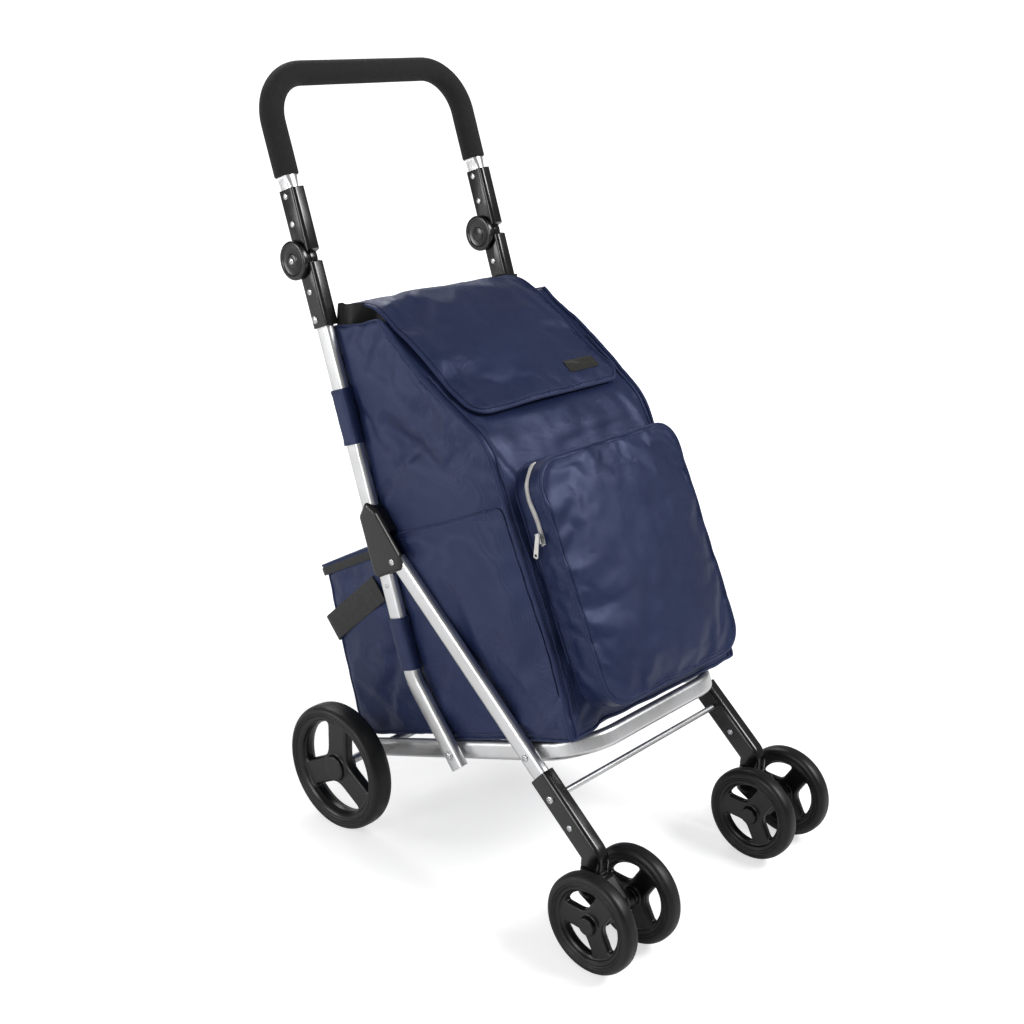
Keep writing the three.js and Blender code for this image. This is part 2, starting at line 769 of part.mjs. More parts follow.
function mouthTube(halfX, inset) {
  const low = [MOUTH_FRONT_Y + 6 + inset, BAG_REAR_TOP[0] - 11 - inset];
  const outline = [
    [low[0], MOUTH_Z[0] - 27 - inset], [low[1], MOUTH_Z[0] - 27 - inset],
    [low[1], MOUTH_Z[1] + inset], [low[0], MOUTH_Z[1] + inset],
  ];
  return sideSlab(outline, -halfX, halfX);
}

// Black drawstring collar that stands up out of the mouth, under the lid.
function collar() {
  const ring = subtract(mouthTube(COLLAR_HALF, 0), mouthTube(COLLAR_HALF - COLLAR_SKIN, COLLAR_SKIN));
  const high = insetLine(LID_PROFILE, 3);
  const low = high.map(([y, z]) => [y, z - COLLAR_DEEP]);
  return intersect(ring, sideSlab([...high, ...low.reverse()], -BAG_HALF, BAG_HALF));
}

// Curved sheet over the mouth with its two front corners rounded off.
function lidFlap() {
  const top = insetLine(LID_PROFILE, -LID_THICK);
  const strip = sideSlab([...LID_PROFILE, ...top.reverse()], -LID_HALF, LID_HALF);
  const plan = new THREE.Shape();
  const front = LID_LINE[2][0] - LID_THICK;
  const rear = LID_LINE[0][0] + LID_THICK * 2;
  const r = LID_CORNER_R;
  plan.moveTo(-LID_HALF, rear);
  plan.lineTo(-LID_HALF, front + r);
  plan.absarc(-LID_HALF + r, front + r, r, Math.PI, Math.PI * 1.5);
  plan.absarc(LID_HALF - r, front + r, r, Math.PI * 1.5, Math.PI * 2);
  plan.lineTo(LID_HALF, rear);
  const cutter = new THREE.ExtrudeGeometry(plan, {
    depth: 200,
    bevelEnabled: false,
    curveSegments: TUBE_FACETS,
  });
  cutter.translate(0, 0, LID_LINE[2][1] - 40);
  return intersect(strip, cutter);
}

function lidLabel() {
  const rise = unit(LID_LINE[2], LID_LINE[1]);
  const up = quarterTurn(rise);
  const start = along(along(LID_LINE[2], rise, LABEL.start), up, LID_THICK + GAP);
  const end = along(start, rise, LABEL.length);
  const outline = [start, end, along(end, up, LABEL.thick), along(start, up, LABEL.thick)];
  return sideSlab(outline, LABEL.x[0], LABEL.x[1]);
}

function sidePocket(sign) {
  const near = sign * (BAG_HALF + GAP);
  return sideSlab(SIDE_POCKET, near, near + sign * SIDE_POCKET_THICK);
}

function buildBag() {
  place('bag_body', bagBody(), NAVY);
  place('bag_collar', collar(), DARK);
  place('lid_flap', lidFlap(), NAVY);
  place('lid_label', lidLabel(), PATCH);
  for (const [name, sign] of Object.entries(SIDES)) {
    place(`side_pocket_${name}`, sidePocket(sign), NAVY);
  }
}

// ---------------------------------------------------------------- front pocket and zip

const POCKET_DOWN = unit(POCKET_TOP, POCKET_BOTTOM);
const POCKET_OUT = reversed(quarterTurn(POCKET_DOWN));

// Pocket frame: x stays x, local y runs up the face, local z stands off it.
function pocketFrame() {
  const basis = new THREE.Matrix4();
  basis.makeBasis(
    new THREE.Vector3(1, 0, 0),
    new THREE.Vector3(0, -POCKET_DOWN[0], -POCKET_DOWN[1]),
    new THREE.Vector3(0, POCKET_OUT[0], POCKET_OUT[1]),
  );
  basis.setPosition(0, POCKET_TOP[0], POCKET_TOP[1]);
  return basis;
}

function frontPocket() {
  const halfX = POCKET_HALF - POCKET_BEVEL;
  const halfY = POCKET_LENGTH / 2 - POCKET_BEVEL;
  const geometry = new THREE.ExtrudeGeometry(roundedShape(halfX, halfY, POCKET_CORNER_R, 0), {
    depth: POCKET_DEEP - POCKET_BEVEL * 2,
    bevelEnabled: true,
    bevelThickness: POCKET_BEVEL,
    bevelSize: POCKET_BEVEL,
    bevelSegments: 2,
    curveSegments: TUBE_FACETS,
  });
  geometry.translate(0, -POCKET_LENGTH / 2, POCKET_STANDOFF);
  return geometry.applyMatrix4(pocketFrame());
}

const ZIP_CORNER_Y = -POCKET_BEVEL - POCKET_CORNER_R;
const ZIP_CORNER_X = -POCKET_HALF - ZIP_CORNER_Y;
const ZIP_CORNER_R = POCKET_CORNER_R + POCKET_BEVEL + GAP + ZIP_THICK / 2;
const ZIP_X = ZIP_CORNER_X - ZIP_CORNER_R;

// The zip chain follows the left wall of the pocket and turns in over its top corner.
function zipChain() {
  const points = [new THREE.Vector3(ZIP_X, -ZIP_LENGTH, ZIP_HEIGHT)];
  for (let i = 0; i <= ZIP_CORNER_STEPS; i += 1) {
    const angle = (ZIP_CORNER_TURN * i) / ZIP_CORNER_STEPS;
    const x = ZIP_CORNER_X - ZIP_CORNER_R * Math.cos(angle);
    const y = ZIP_CORNER_Y + ZIP_CORNER_R * Math.sin(angle);
    points.push(new THREE.Vector3(x, y, ZIP_HEIGHT));
  }
  const shape = roundedShape(ZIP_WIDTH / 2, ZIP_THICK / 2, ZIP_THICK / 4, 0);
  return sweep(shape, points, 1).applyMatrix4(pocketFrame());
}

function zipSlider() {
  const body = new THREE.BoxGeometry(SLIDER.thick, SLIDER.length, SLIDER.width);
  body.translate(ZIP_X - SLIDER.out, -SLIDER.down, ZIP_HEIGHT);
  return body.applyMatrix4(pocketFrame());
}

// The puller hangs straight down beside the slider and has a round hole at its lower end.
function zipPull() {
  const halfLength = PULL.length / 2;
  const shape = roundedShape(PULL.width / 2, halfLength, PULL.width / 2 - GAP, 0);
  const hole = new THREE.Path();
  hole.absarc(0, PULL.width / 2 - halfLength, PULL.width / 4, 0, Math.PI * 2, true);
  shape.holes.push(hole);
  const slider = new THREE.Vector3(ZIP_X - SLIDER.out, -SLIDER.down, ZIP_HEIGHT);
  slider.applyMatrix4(pocketFrame());
  const face = slider.x - SLIDER.thick / 2 - GAP;
  const geometry = slabFromShape(shape, face - PULL.thick, face, TUBE_FACETS);
  geometry.translate(0, slider.y, slider.z - halfLength + PULL.below);
  return geometry;
}

function buildPocket() {
  place('front_pocket', frontPocket(), NAVY);
  place('zip_chain', zipChain(), ZIP);
  place('zip_slider', zipSlider(), ZIP);
  place('zip_pull', zipPull(), ZIP);
}

// ---------------------------------------------------------------- fabric loops round the posts

function postLoop(x, [low, high]) {
  const shape = tubeShape(LOOP_PLAY + LOOP_WALL);
  shape.holes.push(new THREE.Path(tubeShape(LOOP_PLAY).getPoints(2).reverse()));
  return sweep(shape, [side(x, onPost(low)), side(x, onPost(high))], 2);
}

function buildLoops() {
  for (const [name, sign] of Object.entries(SIDES)) {
    place(`post_loop_upper_${name}`, postLoop(sign * TUBE_X, UPPER_LOOP_Z), NAVY);
    place(`post_loop_lower_${name}`, postLoop(sign * TUBE_X, LOWER_LOOP_Z), NAVY);
  }
}

// ---------------------------------------------------------------- cooler bag

const COOLER_LID_BACK = unit(COOLER_LID_LINE[0], COOLER_LID_LINE[1]);
const COOLER_LID_UP = quarterTurn(COOLER_LID_BACK);

// Side outline drawn in towards its middle by the inset.
function coolerOutline(inset) {
  const share = 1 / COOLER_SIDE.length;
  const middle = [0, 0];
  for (const [y, z] of COOLER_SIDE) {
    middle[0] += y * share;
    middle[1] += z * share;
  }
  return COOLER_SIDE.map((point) => along(point, unit(point, middle), inset * 1.3));
}

// Insulated box bag, open at the top under its lid.
function coolerBody() {
  const half = COOLER_HALF - COOLER_SKIN;
  const [front, rear, ...rest] = coolerOutline(COOLER_SKIN);
  const reach = COOLER_SKIN * 8;
  const hollow = [along(front, COOLER_LID_UP, reach), along(rear, COOLER_LID_UP, reach), ...rest];
  const outer = sideSlab(coolerOutline(0), -COOLER_HALF, COOLER_HALF);
  return subtract(outer, sideSlab(hollow, -half, half));
}

function coolerLid() {
  const [front, rear] = COOLER_LID_LINE;
  const down = reversed(COOLER_LID_UP);
  const outline = [
    front, rear, along(rear, down, COOLER_LID_THICK), along(front, down, COOLER_LID_THICK),
  ];
  const half = COOLER_HALF + COOLER_LID_MARGIN;
  return sideSlab(outline, -half, half);
}

// Webbing strap from post to post round the back of the cooler.
function coolerStrap() {
  const [high, low] = STRAP_LINE;
  const corners = [side(-STRAP_X, high), side(-STRAP_X, low), side(STRAP_X, low), side(STRAP_X, high)];
  const shape = roundedShape(STRAP_THICK / 2, STRAP_HALF_WIDTH, STRAP_THICK / 3, 0);
  return sweep(shape, filleted(corners, STRAP_CORNER_R, BEND_STEPS), 1);
}

function buildCooler() {
  place('cooler_body', coolerBody(), NAVY);
  place('cooler_lid', coolerLid(), DARK);
  place('cooler_strap', coolerStrap(), DARK);
}

// ---------------------------------------------------------------- assembly

buildFrameTubes();
buildSleeves();
buildHandle();
buildPivots();
buildRearWheels();
buildCasters();
buildBag();
buildPocket();
buildLoops();
buildCooler();

export default group;
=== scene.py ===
"""Folding four-wheel shopping trolley: the visual model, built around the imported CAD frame.

Shapes are worked out in millimetres, +Z up, front towards -Y, and become metres in piece().
Side-view points are [y, z].
"""

import json
import math

import bmesh
import bpy
import numpy as np
from mathutils import Matrix, Vector, noise
from mathutils.bvhtree import BVHTree
from mathutils.geometry import delaunay_2d_cdt
from mathutils.kdtree import KDTree


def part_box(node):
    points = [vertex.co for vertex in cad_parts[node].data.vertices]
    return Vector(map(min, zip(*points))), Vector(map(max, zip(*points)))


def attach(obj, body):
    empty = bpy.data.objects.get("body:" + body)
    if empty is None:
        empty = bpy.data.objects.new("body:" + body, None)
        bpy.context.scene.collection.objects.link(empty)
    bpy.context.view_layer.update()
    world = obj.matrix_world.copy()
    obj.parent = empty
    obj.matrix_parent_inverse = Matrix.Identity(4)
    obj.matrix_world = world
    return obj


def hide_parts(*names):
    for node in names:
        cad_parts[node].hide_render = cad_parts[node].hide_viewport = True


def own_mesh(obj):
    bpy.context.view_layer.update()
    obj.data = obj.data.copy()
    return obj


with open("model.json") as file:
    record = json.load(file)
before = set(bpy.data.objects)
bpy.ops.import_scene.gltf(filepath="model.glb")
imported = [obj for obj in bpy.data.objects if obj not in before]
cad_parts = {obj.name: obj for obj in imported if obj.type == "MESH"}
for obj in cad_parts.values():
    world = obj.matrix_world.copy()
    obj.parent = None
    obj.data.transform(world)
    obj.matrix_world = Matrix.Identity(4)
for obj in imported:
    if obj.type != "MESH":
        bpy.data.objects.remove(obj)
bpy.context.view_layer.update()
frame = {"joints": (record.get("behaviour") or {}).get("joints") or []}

# ---------------------------------------------------------------- places taken from the frame

MM = 0.001
SIDES = {"left": -1, "right": 1}
JOINTS = {joint["name"]: joint for joint in frame["joints"]}


def joint_at(name):
    """A joint's place in millimetres."""
    return np.array(JOINTS[name]["pos_m"]) / MM


def box_mm(node):
    low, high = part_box(node)
    return np.array(low) / MM, np.array(high) / MM


def middle_x(node):
    low, high = box_mm(node)
    return (low[0] + high[0]) / 2


TUBE_X = middle_x("post_tube_right")
WHEEL_X = middle_x("rear_tyre_right")
BASE_PIVOT = joint_at("fold")[1:]
LEG_BASE_PIVOT = joint_at("leg_turn")[1:]
LEG_PIVOT = joint_at("bracket_slide")[1:]
HINGE = joint_at("handle_tilt")[1:]
AXLE = joint_at("rear_wheel_left_spin")[1:]
SWIVEL = joint_at("caster_left_swivel")[1:]
CASTER_AXLE = joint_at("caster_wheel_left_outer_spin")[1:]
POST_UP = np.array(JOINTS["bracket_slide"]["axis"][1:])
POST_UP = POST_UP / np.linalg.norm(POST_UP)

# ---------------------------------------------------------------- driving dimensions

TUBE_HALF = (7.5, 12.5)
TUBE_CORNER_R = 6.5
TUBE_WALL = 1.4
POST_BEND = np.array([45.6, 232.0])
POST_BEND_R = 60
POST_TAIL = 20
POST_TUBE_TOP_Z = 693

SLEEVE_HALF = (10.5, 16)
SLEEVE_CORNER_R = 6
SLEEVE_FORWARD = 2.5
LOWER_SLEEVE_Z = 667
UPPER_SLEEVE_LENGTH = 92
HINGE_EYE_R = 17
NOTCH = math.radians(16)
CLEARANCE = 0.4
SOCKET_DEEP = 30

LEG_ELBOW = np.array([-272.0, 121.4])
LEG_ELBOW_R = 14
LEG_SLEEVE_START = 28

BRACKET_HALF = 11.4
BRACKET_MIDDLE_Z = 405
BRACKET_OUTLINE = [[-48, -17], [38, -18], [58, 3], [40, 21], [-20, 47], [-40, 40], [-43, 16]]

HANDLE_TOP_Z = 965
HANDLE_TUBE_R = 12.5
HANDLE_CORNER_R = 62
GRIP_R = 15.8
GRIP_START_Z = 846
KNOB_R = 25
KNOB_THICK = 7.5

BASE_X = 152
BASE_FRONT = 379
BASE_REAR_TAIL = 16
BASE_CORNER_R = 66

ROD_AT = np.array([-205.0, 172.2])
ROD_R = 4

REAR_WHEEL = {"radius": 88, "rim": 73, "width": 33, "bore": 6.4, "boss": 14, "first_arm": 88, "arm": 0.25}
CASTER_WHEEL = {"radius": 64, "rim": 48, "width": 23, "bore": 5.4, "boss": 13, "first_arm": 118, "arm": 0.29}
CASTER_OFFSET = 42

# ---------------------------------------------------------------- points and lines


def unit(vector):
    return np.array(vector, float) / np.linalg.norm(vector)


def quarter(direction):
    """A side-view direction turned a quarter turn to its left."""
    return np.array([-direction[1], direction[0]])


def turned(direction, angle):
    return direction * math.cos(angle) + quarter(direction) * math.sin(angle)


def at_x(x, yz):
    return np.array([x, yz[0], yz[1]], float)


POST_FRONT = quarter(POST_UP)
LEG_DOWN = unit(LEG_ELBOW - LEG_PIVOT)
BASE_FORWARD = unit(LEG_BASE_PIVOT - AXLE)


def on_post(z):
    return POST_BEND + POST_UP * ((z - POST_BEND[1]) / POST_UP[1])


def on_base(forward):
    return AXLE + BASE_FORWARD * forward


HINGE_LEVEL = on_post(HINGE[1])


def filleted(corners, radius, steps):
    """Corner points joined by straights, each inner corner rounded to the radius."""
    corners = [np.array(c, float) for c in corners]
    points = [corners[0]]
    for before, corner, after in zip(corners, corners[1:], corners[2:]):
        into, out = unit(corner - before), unit(after - corner)
        turn = math.acos(np.clip(into @ out, -1, 1))
        start = corner - into * radius * math.tan(turn / 2)
        inward = unit(out - into * (out @ into))
        for k in range(steps + 1):
            angle = turn * k / steps
            points.append(start + into * radius * math.sin(angle) + inward * radius * (1 - math.cos(angle)))
    return np.array(points + [corners[-1]])


def rounded_outline(corners, radius, steps):
    """A closed outline with every corner rounded."""
    seam = (np.array(corners[0]) + np.array(corners[-1])) / 2
    return filleted([seam, *corners, seam], radius, steps)[:-1]


def resampled(line, step):
    """A line cut into near-equal steps along its length."""
    line = np.array(line, float)
    lengths = np.concatenate([[0], np.cumsum(np.linalg.norm(np.diff(line, axis=0), axis=1))])
    count = max(int(round(lengths[-1] / step)), 1)
    places = np.linspace(0, lengths[-1], count + 1)
    return np.stack([np.interp(places, lengths, line[:, k]) for k in range(line.shape[1])], 1)


def joined_lines(*lines):
    """Lines laid end to end, the shared points kept once."""
    points = list(lines[0])
    for line in lines[1:]:
        points += list(line[1:])
    return np.array(points)


def rounded_section(half_a, half_b, radius, shift_b=0, steps=8):
    points = []
    for k, (sa, sb) in enumerate([(1, -1), (1, 1), (-1, 1), (-1, -1)]):
        middle = np.array([sa * (half_a - radius), shift_b + sb * (half_b - radius)])
        for step in range(steps + 1):
            angle = math.pi / 2 * (k - 1 + step / steps)
            points.append(middle + radius * np.array([math.cos(angle), math.sin(angle)]))
    return np.array(points)


def disc_section(radius, count=36, start=-math.pi / 2):
    angles = start + np.arange(count) * 2 * math.pi / count
    return radius * np.stack([np.cos(angles), np.sin(angles)], 1)


# ---------------------------------------------------------------- solids: (points in mm, faces)


def sweep(sections, path, across, inner=None, closed=False):
    """A section carried along a path: its first axis starts along across. inner makes it a tube."""
    path = np.array(path, float)
    count = len(path)
    ahead = np.roll(path, -1, 0) - path
    if not closed:
        ahead[-1] = ahead[-2]
    ahead /= np.linalg.norm(ahead, axis=1)[:, None]
    before = np.roll(ahead, 1, 0)
    if not closed:
        before[0] = ahead[0]
    tangents = ahead + before
    tangents /= np.linalg.norm(tangents, axis=1)[:, None]
    side = np.array(across, float)
    frames = []
    for tangent in tangents:
        side = unit(side - tangent * (side @ tangent))
        frames.append((side, np.cross(tangent, side)))

    def shell(section_list, flip):
        points, faces = [], []
        for k, (a_axis, b_axis) in enumerate(frames):
            section = section_list[k]
            points.append(path[k] + section[:, :1] * a_axis + section[:, 1:] * b_axis)
        size = len(section_list[0])
        rings = count if closed else count - 1
        for k in range(rings):
            for i in range(size):
                j = (i + 1) % size
                low, high = k * size, (k + 1) % count * size
                face = [low + i, low + j, high + j, high + i]
                faces.append(face[::-1] if flip else face)
        return np.concatenate(points), faces, size

    outer = [sections] * count if isinstance(sections, np.ndarray) else sections
    points, faces, size = shell(outer, False)
    last = (count - 1) * size
    if inner is not None:
        more, more_faces, _ = shell([inner] * count, True)
        shift = len(points)
        points = np.concatenate([points, more])
        faces += [[i + shift for i in face] for face in more_faces]
        if not closed:
            for i in range(size):
                j = (i + 1) % size
                faces.append([i, shift + i, shift + j, j])
                faces.append([last + j, last + shift + j, last + shift + i, last + i])
    elif not closed:
        faces.append(list(range(size))[::-1])
        faces.append([last + i for i in range(size)])
    return points, faces


def lathe(profile, segments, centre, axis="X", closed=False):
    """[radius, distance along the axis] pairs turned about the axis through the centre."""
    profile = np.array(profile, float)
    angles = np.arange(segments) * 2 * math.pi / segments
    radius = np.repeat(profile[:, 0], segments)
    along = np.repeat(profile[:, 1], segments)
    first = radius * np.tile(np.cos(angles), len(profile))
    second = radius * np.tile(np.sin(angles), len(profile))
    columns = [along, first, second] if axis == "X" else [first, second, along]
    points = np.stack(columns, 1) + np.array(centre, float)
    faces = []
    rings = len(profile) if closed else len(profile) - 1
    for k in range(rings):
        low, high = k * segments, (k + 1) % len(profile) * segments
        for i in range(segments):
            j = (i + 1) % segments
            faces.append([low + i, low + j, high + j, high + i])
    return points, faces


def rod_x(radius, low, high, yz, segments=36, chamfer=0.0):
    profile = [[0, low], [radius - chamfer, low], [radius, low + chamfer]]
    profile += [[radius, high - chamfer], [radius - chamfer, high], [0, high]]
    return lathe(profile, segments, at_x(0, yz))


def slab_x(outline, low, high):
    """A bar along X whose outline is drawn in side view."""
    outline = np.array(outline, float)
    size = len(outline)
    near = np.concatenate([np.full((size, 1), low), outline], 1)
    far = np.concatenate([np.full((size, 1), high), outline], 1)
    faces = [list(range(size))[::-1], list(range(size, size * 2))]
    faces += [[i, (i + 1) % size, size + (i + 1) % size, size + i] for i in range(size)]
    return np.concatenate([near, far]), faces


def merged(*solids):
    points, faces, shift = [], [], 0
    for solid_points, solid_faces in solids:
        points.append(solid_points)
        faces += [[i + shift for i in face] for face in solid_faces]
        shift += len(solid_points)
    return np.concatenate(points), faces


def mirrored(solid):
    """The same solid on the other side of the trolley."""
    points, faces = solid
    return points * np.array([-1, 1, 1]), [face[::-1] for face in faces]


def moved(solid, shift):
    return solid[0] + np.array(shift, float), solid[1]


# ---------------------------------------------------------------- meshes and modifiers


def cleaned(mesh, distance):
    work = bmesh.new()
    work.from_mesh(mesh)
    bmesh.ops.remove_doubles(work, verts=work.verts, dist=distance)
    loose = [f for f in work.faces if f.calc_area() < distance * distance * 0.01]
    bmesh.ops.delete(work, geom=loose, context="FACES_ONLY")
    bmesh.ops.recalc_face_normals(work, faces=work.faces)
    work.to_mesh(mesh)
    work.free()


def scratch(solid, scale=1.0):
    mesh = bpy.data.meshes.new("scratch")
    mesh.from_pydata((np.array(solid[0]) * scale).tolist(), [], [list(map(int, f)) for f in solid[1]])
    cleaned(mesh, 0.002 * scale)
    thing = bpy.data.objects.new("scratch", mesh)
    bpy.context.scene.collection.objects.link(thing)
    return thing


def discard(*things):
    for thing in things:
        data = thing.data
        bpy.data.objects.remove(thing)
        if data.users == 0 and isinstance(data, bpy.types.Mesh):
            bpy.data.meshes.remove(data)


def as_solid(mesh):
    points = np.zeros(len(mesh.vertices) * 3)
    mesh.vertices.foreach_get("co", points)
    return points.reshape(-1, 3), [list(p.vertices) for p in mesh.polygons]


def modified(solid, *modifiers):
    """The solid after a stack of modifiers, each (type, {setting: value})."""
    thing = scratch(solid)
    for kind, settings in modifiers:
        modifier = thing.modifiers.new(kind, kind)
        for key, value in settings.items():
            setattr(modifier, key, value)
    bpy.context.view_layer.update()
    mesh = bpy.data.meshes.new_from_object(thing.evaluated_get(bpy.context.evaluated_depsgraph_get()))
    result = as_solid(mesh)
    bpy.data.meshes.remove(mesh)
    discard(thing)
    return result


def boolean(solid, tool, operation):
    cutter = scratch(tool)
    result = modified(solid, ("BOOLEAN", {"operation": operation, "object": cutter, "solver": "EXACT"}))
    discard(cutter)
    return result


def cut(solid, *tools):
    for tool in tools:
        solid = boolean(solid, tool, "DIFFERENCE")
    return solid


def fused(solid, *others):
    for other in others:
        solid = boolean(solid, other, "UNION")
    return solid


def bevelled(solid, width, segments=2, angle=35):
    settings = {"width": width, "segments": segments, "limit_method": "ANGLE",
                "angle_limit": math.radians(angle), "miter_outer": "MITER_ARC"}
    return modified(solid, ("BEVEL", settings))


def moulded(solid, voxel, rounds):
    """Overlapping solids melted into one skin with soft inner corners."""
    remesh = ("REMESH", {"mode": "VOXEL", "voxel_size": voxel})
    return modified(solid, remesh, ("SMOOTH", {"iterations": rounds, "factor": 0.5}))


def plate(outlines, half, bevel, x, steps=5):
    """A slab across X with rounded edges; the first outline is the outside, the rest are holes."""
    curve = bpy.data.curves.new("plate", "CURVE")
    curve.dimensions = "2D"
    curve.fill_mode = "BOTH"
    curve.extrude = half - bevel
    curve.bevel_depth = bevel
    curve.bevel_resolution = steps
    curve.offset = -bevel
    for outline in outlines:
        spline = curve.splines.new("POLY")
        spline.points.add(len(outline) - 1)
        spline.use_cyclic_u = True
        for point, yz in zip(spline.points, outline):
            point.co = (yz[0], yz[1], 0, 1)
    thing = bpy.data.objects.new("plate", curve)
    bpy.context.scene.collection.objects.link(thing)
    bpy.context.view_layer.update()
    mesh = bpy.data.meshes.new_from_object(thing.evaluated_get(bpy.context.evaluated_depsgraph_get()))
    points, faces = as_solid(mesh)
    bpy.data.meshes.remove(mesh)
    bpy.data.objects.remove(thing)
    return np.stack([points[:, 2] + x, points[:, 0], points[:, 1]], 1), faces


def piece(name, solid, material, body, replaces=(), angle=35, closed=True):
    """A finished piece in metres that rides on a body and stands for its CAD nodes."""
    mesh = bpy.data.meshes.new(name)
    mesh.from_pydata((np.array(solid[0]) * MM).tolist(), [], [list(map(int, f)) for f in solid[1]])
    if closed:
        cleaned(mesh, 1e-6)
    mesh.shade_smooth()
    mesh.set_sharp_from_angle(angle=math.radians(angle))
    mesh.materials.append(material)
    thing = bpy.data.objects.new(name, mesh)
    bpy.context.scene.collection.objects.link(thing)
    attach(thing, body)
    if replaces:
        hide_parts(*replaces)
    return thing


# ---------------------------------------------------------------- materials


class Surface:
    """A Principled material whose colour, roughness and bump come from procedural nodes."""

    def __init__(self, name, **constants):
        self.material = bpy.data.materials.new(name)
        self.material.use_nodes = True
        self.nodes = self.material.node_tree.nodes
        self.links = self.material.node_tree.links
        self.shader = self.nodes["Principled BSDF"]
        self.place = self.nodes.new("ShaderNodeTexCoord").outputs["Object"]
        self.normal = None
        for socket, value in constants.items():
            self.shader.inputs[socket.replace("_", " ")].default_value = value

    def plug(self, socket, value):
        if isinstance(value, bpy.types.NodeSocket):
            self.links.new(value, socket)
        else:
            socket.default_value = value

    def stretched(self, scale, turn=(0, 0, 0)):
        node = self.nodes.new("ShaderNodeMapping")
        self.links.new(self.place, node.inputs["Vector"])
        node.inputs["Scale"].default_value = scale
        node.inputs["Rotation"].default_value = turn
        return node.outputs["Vector"]

    def noise(self, scale, detail=4, vector=None, distortion=0.0):
        node = self.nodes.new("ShaderNodeTexNoise")
        self.links.new(vector or self.place, node.inputs["Vector"])
        node.inputs["Scale"].default_value = scale
        node.inputs["Detail"].default_value = detail
        node.inputs["Distortion"].default_value = distortion
        return node.outputs["Fac"]

    def cells(self, scale, vector=None):
        node = self.nodes.new("ShaderNodeTexVoronoi")
        self.links.new(vector or self.place, node.inputs["Vector"])
        node.inputs["Scale"].default_value = scale
        return node.outputs["Distance"]

    def bands(self, axis, pitch, vector=None):
        """Threads a pitch apart, in metres, across one axis."""
        node = self.nodes.new("ShaderNodeTexWave")
        self.links.new(vector or self.place, node.inputs["Vector"])
        node.wave_type = "BANDS"
        node.bands_direction = axis
        node.inputs["Scale"].default_value = 2 * math.pi / (20 * pitch)
        return node.outputs["Fac"]

    def maths(self, operation, first, second):
        node = self.nodes.new("ShaderNodeMath")
        node.operation = operation
        self.plug(node.inputs[0], first)
        self.plug(node.inputs[1], second)
        return node.outputs[0]

    def ramp(self, value, low, high, to_low, to_high):
        """The value from low..high stretched over to_low..to_high."""
        node = self.nodes.new("ShaderNodeMapRange")
        self.plug(node.inputs["Value"], value)
        for name, number in (("From Min", low), ("From Max", high), ("To Min", to_low), ("To Max", to_high)):
            node.inputs[name].default_value = number
        return node.outputs["Result"]

    def blend(self, share, first, second):
        node = self.nodes.new("ShaderNodeMix")
        node.data_type = "RGBA"
        self.plug(node.inputs["Factor"], share)
        self.plug(node.inputs["A"], first)
        self.plug(node.inputs["B"], second)
        return node.outputs["Result"]

    def bump(self, height, distance, strength=1.0):
        node = self.nodes.new("ShaderNodeBump")
        node.inputs["Strength"].default_value = strength
        node.inputs["Distance"].default_value = distance
        self.plug(node.inputs["Height"], height)
        if self.normal is not None:
            self.links.new(self.normal, node.inputs["Normal"])
        self.normal = node.outputs["Normal"]

    def done(self, colour, roughness):
        self.plug(self.shader.inputs["Base Color"], colour)
        self.plug(self.shader.inputs["Roughness"], roughness)
        if self.normal is not None:
            self.links.new(self.normal, self.shader.inputs["Normal"])
        return self.material


def grey(value):
    return (value, value, value, 1)


def woven(name, dark, light, pitch, roughness, sheen, crinkle, tint=(1, 1, 1, 1)):
    """Plain-woven cloth: threads across each axis with painted shade between them, fine crinkles and a slightly uneven
    dye.
    """
    s = Surface(name, Sheen_Weight=sheen, Sheen_Roughness=0.35, Sheen_Tint=tint, Specular_IOR_Level=0.5,
                Specular_Tint=tint)
    threads = s.maths("MULTIPLY", s.bands("X", pitch), s.bands("Z", pitch))
    threads = s.maths("ADD", threads, s.maths("MULTIPLY", s.bands("Y", pitch), 0.5))
    creases = s.noise(16, 2, s.stretched((1, 0.45, 1.2), (0.6, 0.2, 0.4)), 0.2)
    s.bump(creases, 0.005, crinkle)
    s.bump(s.noise(70, 3), 0.0005, crinkle)
    s.bump(threads, 0.0002, 0.45)
    dye = s.ramp(s.noise(9, 3), 0.3, 0.7, 0, 1)
    # painted shade between the threads and painted highlight on their crests: the colour follows the same thread height
    # as the bump
    shade = s.blend(s.maths("MULTIPLY", threads, 0.35), dark, light)
    colour = s.blend(s.maths("MULTIPLY", dye, 0.3), shade, light)
    return s.done(colour, s.ramp(s.noise(60, 4), 0.3, 0.7, roughness - 0.05, roughness + 0.06))


def aluminium():
    s = Surface("anodised_aluminium", Metallic=1.0)
    grain = s.noise(700, 3, s.stretched((1, 0.06, 0.06)))
    cloud = s.noise(14, 3)
    s.bump(grain, 0.00012, 0.35)
    s.bump(s.noise(2600, 2), 0.00005, 0.3)
    colour = s.blend(s.ramp(cloud, 0.3, 0.7, 0, 1), grey(0.72), (0.83, 0.835, 0.85, 1))
    return s.done(colour, s.ramp(s.maths("ADD", grain, cloud), 0.7, 1.3, 0.3, 0.42))


def steel():
    s = Surface("zinc_steel", Metallic=1.0)
    spots = s.noise(240, 4)
    s.bump(spots, 0.0002, 0.3)
    colour = s.blend(s.ramp(spots, 0.35, 0.65, 0, 1), grey(0.52), (0.74, 0.75, 0.78, 1))
    return s.done(colour, s.ramp(s.noise(90, 3), 0.3, 0.7, 0.2, 0.38))


